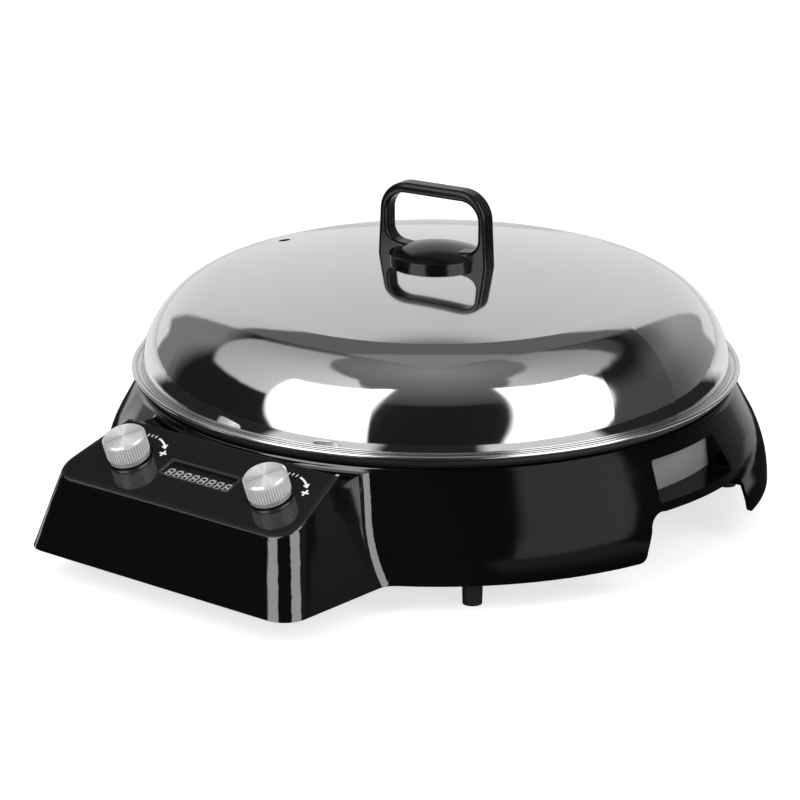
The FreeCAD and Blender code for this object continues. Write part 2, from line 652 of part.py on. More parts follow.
def grip_parts(drum, cavity):
    """What a grip adds to the right side of the housing, and what is then taken away."""
    recess = box("recess_block", "skirt_radius", "2 * (grip_half + wall)", "notch_high + bar_high",
                 "grip_wall - wall", "-grip_half - wall", "foot_height")
    ring_out = rod("pocket_ring_out", "skirt_radius", "window_high + wall", z="bar_top")
    ring_in = rod("pocket_ring_in", "pocket_back - wall", "window_high + wall", z="bar_top")
    ring = cut("pocket_ring", ring_out, ring_in)
    sector = box("pocket_sector", "skirt_radius", "2 * (window_low_half + wall)", "housing_height",
                 "console_root", "-window_low_half - wall", "foot_height")
    added = fuse("grip_added", common("recess_added", drum, recess),
                 common("pocket_added", drum, ring, sector))

    hand = box("hand_room", "skirt_radius", "2 * grip_half", "notch_high + 1",
               "grip_wall", "-grip_half", "foot_height - 1")
    hand_room = common("hand_taken", hand, fuse("hand_cavity", cavity, rod(
        "hand_below", "skirt_radius - wall", "1", z="foot_height - 1")))
    toe = "notch_low_half - notch_toe * 0.8"
    slant = "(notch_low_half - notch_top_half) / notch_high"
    low_x = f"notch_low_half - ({slant}) * notch_toe"
    high_x = f"notch_top_half + ({slant}) * notch_round"
    arch = upright_prism("arch_room", [
        (f"-({toe}) - notch_toe * 1.6", "foot_height - 1"),
        (f"({toe}) + notch_toe * 1.6", "foot_height - 1"),
        (f"({toe}) + notch_toe * 1.6", "foot_height"),
        (low_x, "foot_height + notch_toe"), (high_x, "bar_low - notch_round"),
        ("notch_top_half - notch_round", "bar_low"), ("notch_round - notch_top_half", "bar_low"),
        (f"-({high_x})", "bar_low - notch_round"), (f"-({low_x})", "foot_height + notch_toe"),
        (f"-({toe}) - notch_toe * 1.6", "foot_height")],
        {2: ("notch_toe * 1.05", -1), 4: ("notch_round * 1.12", 1), 6: ("notch_round * 1.12", 1),
         8: ("notch_toe * 1.05", -1)}, "grip_wall", "skirt_radius")
    window = upright_prism("window_room", [
        ("-window_low_half", "bar_top"), ("window_low_half", "bar_top"),
        ("window_top_half", "bar_top + window_high"), ("-window_top_half", "bar_top + window_high")],
        None, "grip_wall", "skirt_radius")

    def window_corner(edge):
        a, b = ends(edge)
        return abs(a.x - b.x) > 1

    soften(window, "window_corners", window_corner, "window_round")
    pocket_room = cut("pocket_taken", window, rod("pocket_core", "pocket_back", "housing_height",
                                                  z="foot_height"))
    taken = fuse("grip_taken", hand_room, arch, pocket_room)
    return added, taken


def hinge_ears():
    """Two moulded ears at the back that carry the hinge pin, and the bar that stops the lid."""
    stop_top = "(hinge_z - heel_thick / 2 - stop_gap)"
    outline = [("shoulder_radius - wall * 1.5", "housing_top - wall * 0.5"),
               ("shoulder_radius - wall * 1.5", "housing_top - ear_foot"),
               ("hinge_back - 1", "housing_top - ear_foot"),
               ("ear_back", f"{stop_top} - stop_high"), ("ear_back", stop_top),
               ("hinge_back", "hinge_z"), ("hinge_back - ear_boss", "hinge_z"),
               ("shoulder_radius + 2", "housing_top - wall * 0.5")]
    ears = []
    for side, start in (("right", "barrel_half + ear_gap"), ("left", "-barrel_half - ear_gap - ear_thick")):
        ears.append(upright_prism(f"ear_{side}", outline, None, start, "ear_thick"))
        ears.append(rod(f"ear_boss_{side}", "ear_boss", "ear_thick", start, "hinge_back", "hinge_z",
                        along="X"))
    web = box("hinge_stop", "2 * (barrel_half + ear_gap) + ear_thick", "heel_long - ear_gap", "stop_high",
              "-barrel_half - ear_gap - ear_thick / 2", "hinge_back + barrel_radius + ear_gap",
              f"{stop_top} - stop_high")
    return ears, web


def base_shell():
    drum = drum_block()
    cavity = drum_cavity()
    outer = fuse("outer_block", drum, console_block("console_out", "0", "0", "shelf_height"))
    across = Vector(0, -num("sin(panel_slope)"), num("cos(panel_slope)"))
    along = Vector(0, num("cos(panel_slope)"), num("sin(panel_slope)"))
    edge_point = Vector(0, -num("panel_front"), num("panel_z"))

    def junction(edge):
        a, b = ends(edge)
        middle = edge.CenterOfMass
        inside = -num("skirt_radius") < middle.y < -num("console_root")
        upright = abs(a.z - b.z) > num("console_tall") / 8
        return upright and inside and abs(middle.x) > num("console_half") / 2

    def upper_rim(edge):
        span = edge.LastParameter - edge.FirstParameter
        spots = [edge.valueAt(edge.FirstParameter + span * step / 6) - edge_point for step in range(7)]
        flat = all(abs(spot.dot(across)) < 0.02 for spot in spots)
        return flat and not all(abs(spot.dot(along) - num("panel_length")) < 0.05 for spot in spots)

    blended = round_edges("outer_blended", outer, [(junction, "console_blend"), (upper_rim, "rim_round")])
    hollow = fuse("hollow_block", cavity,
                  console_block("console_in", "wall", "wall + panel_thick", "shelf_height - wall"))
    hull = cut("hull", blended, hollow)

    added, taken = grip_parts(drum, cavity)
    left_added = mirror("grip_added_left", added, Vector(1, 0, 0))
    left_taken = mirror("grip_taken_left", taken, Vector(1, 0, 0))

    posts = []
    bores = []
    for number in range(4):
        turn_by = f"foot_angle + {90 * number}" if number % 2 == 0 else f"{90 * (number + 1)} - foot_angle"
        x, y = f"foot_circle * cos({turn_by})", f"foot_circle * sin({turn_by})"
        posts.append(rod(f"foot_post_{number}", "foot_post", "pan_top - pan_sheet - cover_gap - cover_top",
                         x, y, "cover_top"))
        bores.append(rod(f"foot_bore_{number}", "screw_radius", "standoff_tall * 2", x, y, "cover_top"))
    clipped = common("posts_clipped", drum, fuse("posts", *posts))
    ears, web = hinge_ears()
    pin_bore = rod("ear_bore", "hinge_pin_radius", "4 * barrel_half", "-2 * barrel_half", "hinge_back",
                   "hinge_z", along="X")

    bay = box("inlet_bay_room", "inlet_wide + 2 * inlet_ears + inlet_bay", "skirt_radius - inlet_face + 1",
              "inlet_high + inlet_bay", "-(inlet_wide + inlet_bay) / 2 - inlet_ears", "inlet_face",
              "inlet_z - (inlet_high + inlet_bay) / 2")
    bay_back = box("inlet_bay_back", "inlet_wide + 2 * inlet_ears + inlet_bay + 2 * wall",
                   "skirt_radius - inlet_face + wall", "inlet_high + inlet_bay + wall * 2",
                   "-(inlet_wide + inlet_bay) / 2 - inlet_ears - wall", "inlet_face - wall",
                   "inlet_z - (inlet_high + inlet_bay) / 2 - wall")
    bay_added = common("inlet_bay_added", drum, bay_back)
    inlet_hole = box("inlet_hole", "inlet_wide - inlet_lip", "4 * wall", "inlet_high - inlet_lip",
                     "-(inlet_wide - inlet_lip) / 2", "inlet_face - 2 * wall",
                     "inlet_z - (inlet_high - inlet_lip) / 2")
    inlet_bores = [rod(f"inlet_bore_{side}", "screw_radius", "wall * 2",
                       f"{side} * (inlet_wide + inlet_ears) / 2", "inlet_face - wall * 1.5", "inlet_z",
                       along="Y") for side in (-1, 1)]

    recess = panel_blank("panel_recess", "0", "panel_thick + 1", lift="1")
    opening = panel_blank("panel_opening", "panel_ledge", "wall * 3 + panel_thick", lift="0")
    for tool in (recess, opening):
        tool.Placement = Placement(Vector(), Rotation(Vector(1, 0, 0), num("panel_slope")))
        tool.setExpression("Placement.Rotation.Angle", full("panel_slope"))
        bind(tool, Placement__Base__y="-panel_front", Placement__Base__z="panel_z")

    gross = fuse("gross_shell", hull, added, left_added, clipped, bay_added, *ears, web)
    shell = cut("base_shell", gross, taken, left_taken, *bores, pin_bore, bay, inlet_hole, *inlet_bores,
                recess, opening)
    return on_drum(shell, "base_shell")


def panel_blank(name, inset, thick, lift="0"):
    """The control panel's outline as a plate below a height over the sloped face."""
    taper = "(console_top_half - console_top_root_half) / (console_top_front - console_root)"
    rear_half = f"(console_top_half - ({taper}) * (console_top_front - ridge_y))"
    body = body_of(name)
    sketch = body_sketch(body, name + "_outline", lift=lift)
    front_x = f"front_half - panel_border - {inset}"
    rear_x = f"{rear_half} - panel_border - {inset}"
    low_v, high_v = f"panel_border + {inset}", f"panel_length - {inset} - ridge_thick / 2"
    draw(sketch, [(f"-({front_x})", low_v), (front_x, low_v), (rear_x, high_v), (f"-({rear_x})", high_v)])
    pad(body, name + "_plate", sketch, thick, down=True)

    def front_corner(edge):
        a, b = ends(edge)
        return abs(a.z - b.z) > 0.5 and a.y < num("panel_length") / 2

    soften(body, name + "_corners", front_corner, f"panel_corner - {inset} * 0.6")
    return body


def control_panel():
    body = panel_blank("control_panel_body", "panel_gap", "panel_thick")
    window = body_sketch(body, "display_opening")
    low_v, high_v = "knob_rise - lens_high / 2", "knob_rise + lens_high / 2"
    draw(window, [("-lens_wide / 2", low_v), ("lens_wide / 2", low_v), ("lens_wide / 2", high_v),
                  ("-lens_wide / 2", high_v)])
    pocket(body, "display_cut", window, "panel_thick")

    def window_corner(edge):
        a, b = ends(edge)
        return (abs(a.z - b.z) > 0.5 and abs(abs(a.x) - num("lens_wide / 2")) < 0.01
                and abs(abs(a.y - num("knob_rise")) - num("lens_high / 2")) < 0.01)

    soften(body, "display_corners", window_corner, "lens_round")

    def opening_edge(edge):
        level = all(abs(point.z) < 0.01 for point in ends(edge))
        inside = abs(edge.CenterOfMass.x) < num("lens_wide / 2 + 0.01")
        high = abs(edge.CenterOfMass.y - num("knob_rise")) < num("lens_high / 2 + 0.01")
        return level and inside and high

    soften(body, "opening_bevel", opening_edge, "lens_bevel", kind="PartDesign::Chamfer")
    wells = body_sketch(body, "wells")
    draw_circle(wells, "-knob_spread", "knob_rise", "well_radius")
    draw_circle(wells, "knob_spread", "knob_rise", "well_radius")
    pocket(body, "well_cut", wells, "well_deep")
    holes = body_sketch(body, "bushing_holes")
    draw_circle(holes, "-knob_spread", "knob_rise", "bushing_radius + screw_gap")
    draw_circle(holes, "knob_spread", "knob_rise", "bushing_radius + screw_gap")
    pocket(body, "bushing_cut", holes, "panel_thick")
    posts = body_sketch(body, "board_posts", lift="-panel_thick")
    for x, y in board_screw_places():
        draw_circle(posts, x, y, "standoff_radius")
    pad(body, "post_length", posts, "board_drop - panel_thick", down=True)
    bores = body_sketch(body, "post_bores", lift="-board_drop")
    for x, y in board_screw_places():
        draw_circle(bores, x, y, "screw_radius")
    pocket(body, "post_bore_cut", bores, "board_drop - panel_thick * 1.5", up=True)
    doc.recompute()
    on_panel(body, "control_panel")


def board_screw_places():
    x, y = "board_wide / 2 - board_screw_in", "board_high / 2 - board_screw_in"
    return [(f"{sx} * ({x})", f"knob_rise + {sy} * ({y})") for sx in (-1, 1) for sy in (-1, 1)]


def display():
    lens = body_of("lens_body")
    sketch = body_sketch(lens, "lens_outline", lift="-lens_drop")
    wide, high = "(lens_wide / 2 - panel_gap)", "(lens_high / 2 - panel_gap)"
    draw(sketch, [(f"-{wide}", f"knob_rise - {high}"), (wide, f"knob_rise - {high}"),
                  (wide, f"knob_rise + {high}"), (f"-{wide}", f"knob_rise + {high}")])
    pad(lens, "lens_plate", sketch, "lens_thick", down=True)

    def upright_edge(edge):
        a, b = ends(edge)
        return abs(a.z - b.z) > num("lens_thick") / 2

    soften(lens, "lens_corners", upright_edge, "lens_round - panel_gap")
    on_panel(lens, "display_lens")
    module = box("module_glass", "lens_wide + 2 * module_margin", "lens_high + 2 * module_margin",
                 "module_thick", "-lens_wide / 2 - module_margin",
                 "knob_rise - lens_high / 2 - module_margin", "-panel_thick - module_thick")
    face = box("module_face", "lens_wide - lens_round", "lens_high - lens_round",
               "panel_thick - lens_drop - lens_thick", "-(lens_wide - lens_round) / 2",
               "knob_rise - (lens_high - lens_round) / 2", "-panel_thick")
    on_panel(fuse("display_module_body", module, face), "display_module")
    pins = [box(f"module_pin_{n}", "pin_side", "pin_side", "board_drop - panel_thick - module_thick",
                f"-lens_wide / 2 + {n} * lens_wide / (pin_count - 1)",
                "knob_rise + lens_high / 2 + pin_side", "-board_drop")
            for n in range(int(num("pin_count")))]
    on_panel(pack_together("display_pins_group", *pins), "display_pins")


def control_board():
    plate = box("board_plate", "board_wide", "board_high", "board_thick", "-board_wide / 2",
                "knob_rise - board_high / 2", "-board_drop - board_thick")
    holes = [rod(f"board_hole_{n}", "screw_radius + screw_gap", "board_thick * 2", x, y,
                 "-board_drop - board_thick * 1.5") for n, (x, y) in enumerate(board_screw_places())]
    on_panel(cut("board_cut", plate, *holes), "control_board")
    screws = []
    for n, (x, y) in enumerate(board_screw_places()):
        stem = rod(f"board_stem_{n}", "screw_radius", "board_thick + standoff_tall * 0.75", x, y,
                   "-board_drop - board_thick")
        head = rod(f"board_head_{n}", "screw_radius * 1.9", "screw_radius", x, y,
                   "-board_drop - board_thick - screw_radius")
        screws.append(fuse(f"board_screw_{n}", stem, head))
    on_panel(pack_together("board_screw_group", *screws), "board_screws")
    chip = box("control_chip_body", "chip_side", "chip_side", "chip_high", "-chip_side / 2",
               "knob_rise - chip_side / 2", "-board_drop")
    on_panel(chip, "control_chip")


def knob_set(side, name):
    """One rotary control: its encoder on the board, and the shaft, insert and cap that turn."""
    x = f"{side} * knob_spread"
    casing = box(f"{name}_casing", "encoder_wide", "encoder_wide", "encoder_tall", "-encoder_wide / 2",
                 "knob_rise - encoder_wide / 2", "-board_drop")
    bushing = rod(f"{name}_bushing", "bushing_radius", "board_drop - encoder_tall - well_deep / 2",
                  y="knob_rise", z="-board_drop + encoder_tall")
    hole = rod(f"{name}_hole", "shaft_radius + shaft_gap", "board_drop", y="knob_rise",
               z="-board_drop + encoder_tall / 2")
    on_panel(cut(f"{name}_encoder_cut", fuse(f"{name}_encoder_block", casing, bushing), hole),
             f"{name}_encoder", x=x)

    foot = "-board_drop + encoder_tall / 2 + shaft_gap * 2"
    shaft_end = "knob_float + insert_tall - shaft_flat"
    stem = rod(f"{name}_stem", "shaft_radius", f"{shaft_end} - ({foot})", y="knob_rise", z=foot)
    flat = box(f"{name}_flat", "2 * shaft_radius", "shaft_radius", "insert_tall", "-shaft_radius",
               "knob_rise + shaft_radius - shaft_flat", "well_deep")
    on_panel(cut(f"{name}_shaft_cut", stem, flat), f"{name}_shaft", x=x)

    core = rod(f"{name}_core", "insert_radius", "insert_tall", y="knob_rise", z="knob_float")
    core_bore = rod(f"{name}_core_bore", "shaft_radius + press_gap", "insert_tall - shaft_flat",
                    y="knob_rise", z="knob_float")
    core_flat = box(f"{name}_core_flat", "2 * insert_radius", "insert_radius", "insert_tall",
                    "-insert_radius", "knob_rise + shaft_radius - shaft_flat + press_gap",
                    "well_deep + panel_gap")
    d_bore = cut(f"{name}_d_bore", core_bore, core_flat)
    on_panel(cut(f"{name}_insert_cut", core, d_bore), f"{name}_insert", x=x)

    cap = body_of(f"{name}_cap")
    outline = body_sketch(cap, f"{name}_cap_outline", "XZ_Plane")
    collar = "knob_radius - collar_step"
    draw(outline, [
        ("insert_radius + press_gap", "knob_float"), (collar, "knob_float"), (collar, "knob_collar"),
        ("knob_radius", "knob_collar"), ("knob_radius", "knob_tall - knob_chamfer"),
        ("knob_radius - knob_chamfer", "knob_tall"), ("0", "knob_tall"),
        ("0", "knob_float + insert_tall + press_gap"),
        ("insert_radius + press_gap", "knob_float + insert_tall + press_gap")])
    turn(cap, f"{name}_cap_turned", outline)
    flute = body_sketch(cap, f"{name}_flute_outline", lift="knob_collar")
    draw_circle(flute, "knob_radius + flute_radius * 0.35", "0", "flute_radius")
    groove = pocket(cap, f"{name}_flute", flute, "knob_tall - knob_collar - 2 * knob_chamfer", up=True)
    ring = cap.newObject("PartDesign::PolarPattern", f"{name}_flutes")
    ring.Originals = [groove]
    ring.Axis = (outline, ["V_Axis"])
    ring.Angle = 360
    bind(ring, Occurrences="flute_count")
    cap.Tip = ring
    doc.recompute()
    cap.Label = f"{name}_knob"
    cap.Placement = Placement(Vector(), Rotation(Vector(1, 0, 0), num("panel_slope")))
    cap.setExpression("Placement.Rotation.Angle", full("panel_slope"))
    bind(cap, Placement__Base__x=x,
         Placement__Base__y="axis_back - panel_front + knob_rise * cos(panel_slope)",
         Placement__Base__z="panel_z + knob_rise * sin(panel_slope)")
    PIECES.append(cap)


def bottom_cover():
    body = body_of("bottom_cover_body")
    disc = body_sketch(body, "cover_disc", lift="cover_low")
    draw_circle(disc, "0", "0", "skirt_radius - wall - 2 * cover_gap")
    pad(body, "cover_plate", disc, "cover_thick")
    nose = body_sketch(body, "cover_nose", lift="cover_low")
    inset = "(wall + cover_gap + console_lean * (cover_sunk + cover_thick) / console_tall)"
    draw(nose, [(f"{inset} - console_half", f"{inset} - console_front"),
                (f"console_half - {inset}", f"{inset} - console_front"),
                (f"console_root_half - {inset} - console_blend / 4", "-console_root"),
                (f"{inset} + console_blend / 4 - console_root_half", "-console_root")])
    pad(body, "cover_nose_plate", nose, "cover_thick")

    def front_corner(edge):
        a, b = ends(edge)
        return abs(a.z - b.z) > 0.5 and a.y < -num("console_front") + num("console_corner")

    soften(body, "cover_corners", front_corner, f"console_corner - {inset}")
    gaps = body_sketch(body, "cover_recesses", lift="cover_low")
    inner, half = "grip_wall - wall - cover_gap", "grip_half + wall + cover_gap"
    for side in (-1, 1):
        corners = [(inner, f"-({half})"), ("skirt_radius", f"-({half})"), ("skirt_radius", half),
                   (inner, half)]
        draw(gaps, [(f"{side} * ({x})", y) for x, y in corners][::side])
    pocket(body, "cover_recess_cut", gaps, "cover_thick", up=True)
    holes = body_sketch(body, "cover_holes", lift="cover_low")
    for x, y in foot_places():
        draw_circle(holes, x, y, "screw_radius + screw_gap")
    for x, y in power_board_places():
        draw_circle(holes, x, y, "screw_radius + screw_gap")
    pocket(body, "cover_hole_cut", holes, "cover_thick", up=True)
    doc.recompute()
    on_drum(body, "bottom_cover")


def foot_places():
    spots = []
    for number in range(4):
        angle = f"foot_angle + {90 * number}" if number % 2 == 0 else f"{90 * (number + 1)} - foot_angle"
        spots.append((f"foot_circle * cos({angle})", f"foot_circle * sin({angle})"))
    return spots


def feet():
    corners = ("rear_right", "rear_left", "front_left", "front_right")
    screws = []
    for corner, (x, y) in zip(corners, foot_places()):
        peg = make("Part::Cone", f"foot_{corner}_peg")
        bind(peg, Radius1="foot_radius - foot_taper", Radius2="foot_radius", Height="cover_low")
        place(peg, x, y)
        sink = rod(f"foot_{corner}_sink", "screw_radius * 2.2", "foot_height / 2", x, y)
        hole = rod(f"foot_{corner}_hole", "screw_radius + screw_gap", "foot_height + wall", x, y)
        on_drum(cut(f"foot_{corner}_cut", peg, sink, hole), f"foot_{corner}")
        stem = rod(f"foot_stem_{corner}", "screw_radius",
                   "cover_top + standoff_tall - foot_height / 2", x, y, "foot_height / 2")
        head = rod(f"foot_head_{corner}", "screw_radius * 2", "screw_radius", x, y,
                   "foot_height / 2 - screw_radius")
        screws.append(fuse(f"foot_screw_{corner}", stem, head))
    on_drum(pack_together("foot_screw_group", *screws), "foot_screws")


def plate_and_seat():
    on_drum(spin("seat_ring_turned", [
        ("seat_inner", "housing_top"), ("seat_outer", "housing_top"), ("seat_outer", "seat_top"),
        ("seat_inner", "seat_top")]), "seat_ring")
    body = body_of("plate_body")
    outline = body_sketch(body, "plate_outline", "XZ_Plane")
    face = "rim_top - plate_lip"
    boss = "mouth_radius - drop_gap"
    draw(outline, [
        ("0", "plate_under"), (boss, "plate_under"), (boss, "seat_top"),
        ("plate_radius - edge_round", "seat_top"), ("plate_radius", "seat_top + edge_round"),
        ("plate_radius", "rim_top - edge_round"), ("plate_radius - edge_round", "rim_top"),
        ("cook_radius + lip_run", "rim_top"), ("cook_radius", face), ("0", face)],
        {3: ("edge_round", 1), 5: ("edge_round", 1)})
    turn(body, "plate_turned", outline)
    bosses = body_sketch(body, "plate_bosses", lift="tube_low")
    bores = body_sketch(body, "plate_bores", lift="tube_low")
    for x, y in clamp_places():
        draw_circle(bosses, x, y, "boss_radius")
        draw_circle(bores, x, y, "screw_radius")
    pad(body, "boss_length", bosses, "2 * element_tube + plate_drop / 4")
    pocket(body, "boss_bores", bores, "2 * element_tube", up=True)
    doc.recompute()
    on_drum(body, "cooking_plate")


def clamp_places():
    return [(f"clamp_circle * cos({angle})", f"clamp_circle * sin({angle})")
            for angle in (45, 135, 225, 315)]


def heating():
    for name, radius in (("outer", "element_outer"), ("inner", "element_inner")):
        ring = make("Part::Torus", f"element_{name}_ring")
        bind(ring, Radius1=radius, Radius2="element_tube", Angle3="360 - element_gap_turn")
        ring.Placement = Placement(Vector(), Rotation(Vector(0, 0, 1), num("element_gap_turn / 2 - 90")))
        ring.setExpression("Placement.Rotation.Angle", full("element_gap_turn / 2 + 270"))
        bind(ring, Placement__Base__z="tube_low + element_tube")
        parts = [ring]
        for side in (-1, 1):
            angle = f"270 + {side} * element_gap_turn / 2"
            x, y = f"{radius} * cos({angle})", f"{radius} * sin({angle})"
            ball = make("Part::Sphere", f"element_{name}_bend_{side + 1}")
            bind(ball, Radius="element_tube")
            place(ball, x, y, "tube_low + element_tube")
            parts.append(ball)
            parts.append(rod(f"element_{name}_cold_{side + 1}", "element_tube",
                             "tube_low + element_tube - pan_low - pan_sheet - pad_thick / 2", x, y,
                             "pan_low + pan_sheet + pad_thick / 2"))
            parts.append(rod(f"element_{name}_pin_{side + 1}", "pin_radius",
                             "pin_below + pad_thick + pan_sheet", x, y, "pan_low - pin_below"))
        on_drum(fuse(f"element_{name}_fused", *parts), f"heating_element_{name}")
    clamps = []
    screws = []
    for n, (x, y) in enumerate(clamp_places()):
        bar = make("Part::Box", f"clamp_bar_{n}")
        bind(bar, Length="element_outer - element_inner + 2 * clamp_over", Width="clamp_wide",
             Height="clamp_thick")
        angle = 45 + 90 * n
        start = "(element_inner - clamp_over)"
        bar.Placement = Placement(Vector(), Rotation(Vector(0, 0, 1), angle))
        bind(bar, Placement__Base__x=f"{start} * cos({angle}) + clamp_wide / 2 * sin({angle})",
             Placement__Base__y=f"{start} * sin({angle}) - clamp_wide / 2 * cos({angle})",
             Placement__Base__z="tube_low - clamp_thick")
        hole = rod(f"clamp_hole_{n}", "screw_radius + screw_gap", "clamp_thick * 3", x, y,
                   "tube_low - clamp_thick * 2")
        clamps.append(cut(f"clamp_{n}", bar, hole))
        stem = rod(f"clamp_stem_{n}", "screw_radius", "clamp_thick + element_tube * 1.5", x, y,
                   "tube_low - clamp_thick")
        head = rod(f"clamp_head_{n}", "screw_radius * 2", "screw_radius", x, y,
                   "tube_low - clamp_thick - screw_radius")
        screws.append(fuse(f"clamp_screw_{n}", stem, head))
    on_drum(pack_together("clamp_group", *clamps), "element_clamps")
    on_drum(pack_together("clamp_screw_group", *screws), "clamp_screws")


def element_pin_places():
    spots = []
    for radius in ("element_outer", "element_inner"):
        for side in (-1, 1):
            angle = f"270 + {side} * element_gap_turn / 2"
            spots.append((f"{radius} * cos({angle})", f"{radius} * sin({angle})"))
    return spots


def pan_screw_places():
    return [(f"pan_screw_circle * cos({angle})", f"pan_screw_circle * sin({angle})")
            for angle in (30, 150, 210, 330)]


def pan_and_pad():
    body = body_of("pan_body")
    outline = body_sketch(body, "pan_outline", "XZ_Plane")
    draw(outline, [
        ("0", "pan_low"), ("pan_radius", "pan_low"), ("pan_radius", "pan_top - pan_sheet"),
        ("pan_flange", "pan_top - pan_sheet"), ("pan_flange", "pan_top"),
        ("pan_radius - pan_sheet", "pan_top"),
        ("pan_radius - pan_sheet", "pan_low + pan_sheet"), ("0", "pan_low + pan_sheet")])
    turn(body, "pan_turned", outline)
    holes = body_sketch(body, "pan_holes", lift="pan_low")
    for x, y in element_pin_places():
        draw_circle(holes, x, y, "pin_radius + screw_gap")
    draw_circle(holes, "0", "0", "sensor_stem + screw_gap")
    pocket(body, "pan_hole_cut", holes, "pan_sheet", up=True)
    flange_holes = body_sketch(body, "flange_holes", lift="pan_top - pan_sheet")
    for x, y in pan_screw_places():
        draw_circle(flange_holes, x, y, "screw_radius + screw_gap")
    pocket(body, "flange_hole_cut", flange_holes, "pan_sheet", up=True)
    doc.recompute()
    on_drum(body, "heat_pan")

    pad_disc = rod("pad_disc", "pan_radius - pan_sheet - pad_gap", "pad_thick", z="pan_low + pan_sheet")
    pad_holes = [rod(f"pad_hole_{n}", "element_tube + pad_gap", "pad_thick * 2", x, y, "pan_low")
                 for n, (x, y) in enumerate(element_pin_places())]
    pad_holes.append(rod("pad_sensor_hole", "sensor_radius + pad_gap", "pad_thick * 2", z="pan_low"))
    on_drum(cut("pad_cut", pad_disc, *pad_holes), "insulation_pad")
    screws = []
    for n, (x, y) in enumerate(pan_screw_places()):
        stem = rod(f"pan_stem_{n}", "screw_radius", "pan_sheet", x, y, "pan_top - pan_sheet")
        head = rod(f"pan_head_{n}", "screw_radius * 2", "screw_radius", x, y,
                   "pan_top - pan_sheet - screw_radius")
        screws.append(fuse(f"pan_screw_{n}", stem, head))
    on_drum(pack_together("pan_screw_group", *screws), "pan_screws")


def sensing():
    button = rod("sensor_button", "sensor_radius", "sensor_tall", z="plate_under - sensor_tall")
    stem = rod("sensor_stem_rod", "sensor_stem", "plate_under - sensor_tall - pan_low + pin_below",
               z="pan_low - pin_below")
    on_drum(fuse("sensor_fused", button, stem), "temperature_sensor")
    nut = rod("sensor_nut_body", "sensor_radius", "element_tube", z="pan_low - element_tube")
    on_drum(cut("sensor_nut_cut", nut, rod("sensor_nut_hole", "sensor_stem + shaft_gap", "pin_below * 2",
                                           z="pan_low - pin_below * 1.5")), "sensor_nut")
    fuse_body = rod("fuse_can", "fuse_radius", "fuse_long", "fuse_out - fuse_long / 2", "0",
                    "pan_low - fuse_radius", along="X")
    on_drum(fuse_body, "thermal_fuse")


def power_board_places():
    x, y = "bay_board_wide / 2 - board_screw_in", "bay_board_deep - board_screw_in"
    return [(f"{side} * ({x})", f"-bay_board_back - {depth}") for side in (-1, 1)
            for depth in ("board_screw_in", f"({y})")]


def power_bay():
    plate = box("power_plate", "bay_board_wide", "bay_board_deep", "board_thick", "-bay_board_wide / 2",
                "-bay_board_back - bay_board_deep", "board_z")
    holes = [rod(f"power_hole_{n}", "screw_radius + screw_gap", "board_thick * 3", x, y,
                 "board_z - board_thick")
             for n, (x, y) in enumerate(power_board_places())]
    on_drum(cut("power_cut", plate, *holes), "power_board")
    tubes = []
    screws = []
    for n, (x, y) in enumerate(power_board_places()):
        post = rod(f"standoff_post_{n}", "standoff_radius", "standoff_tall", x, y, "cover_top")
        bore = rod(f"standoff_bore_{n}", "screw_radius + screw_gap", "standoff_tall * 2", x, y, "cover_low")
        tubes.append(cut(f"standoff_{n}", post, bore))
        stem = rod(f"power_stem_{n}", "screw_radius", "cover_thick + standoff_tall + board_thick", x, y,
                   "cover_low")
        nut = rod(f"power_nut_{n}", "screw_radius * 2", "screw_radius", x, y, "board_z + board_thick")
        screws.append(fuse(f"power_screw_{n}", stem, nut))
    on_drum(pack_together("standoff_group", *tubes), "board_standoffs")
    on_drum(pack_together("power_screw_group", *screws), "power_board_screws")
    on_drum(box("relay_case", "relay_long", "relay_deep", "relay_high", "relay_in - bay_board_wide / 2",
                "-bay_board_back - relay_in - relay_deep", "parts_z"), "relay")
    on_drum(box("coil_case", "coil_long", "coil_deep", "coil_high",
                "bay_board_wide / 2 - coil_in - coil_long", "-bay_board_back - coil_back - coil_deep",
                "parts_z"), "transformer")
    sink_y = "-bay_board_back - sink_in"
    fins = [box(f"sink_fin_{n}", "fin_thick", "fin_deep", "sink_high",
                f"-sink_long / 2 + {n} * (sink_long - fin_thick) / (fin_count - 1)", sink_y, "parts_z")
            for n in range(int(num("fin_count")))]
    sink = box("sink_plate", "sink_long", "sink_back", "sink_high", "-sink_long / 2",
               f"{sink_y} - sink_back", "parts_z")
    on_drum(fuse("sink_fused", sink, *fins), "heat_sink")
    on_drum(box("switch_case", "switch_wide", "switch_thick", "switch_high", "-switch_wide / 2",
                f"{sink_y} - sink_back - switch_thick", "parts_z"), "power_switch_device")
    block = box("terminal_case", "4.5 * terminal_pitch", "terminal_deep", "terminal_high",
                "-2.25 * terminal_pitch", "-bay_board_back - terminal_deep - wall / 3", "parts_z")
    wells = [rod(f"terminal_hole_{n}", "terminal_well", "terminal_high", f"({n} - 1.5) * terminal_pitch",
                 "-bay_board_back - terminal_deep / 2 - wall / 3", "parts_z + terminal_high / 2")
             for n in range(4)]
    on_drum(cut("terminal_cut", block, *wells), "terminal_block")


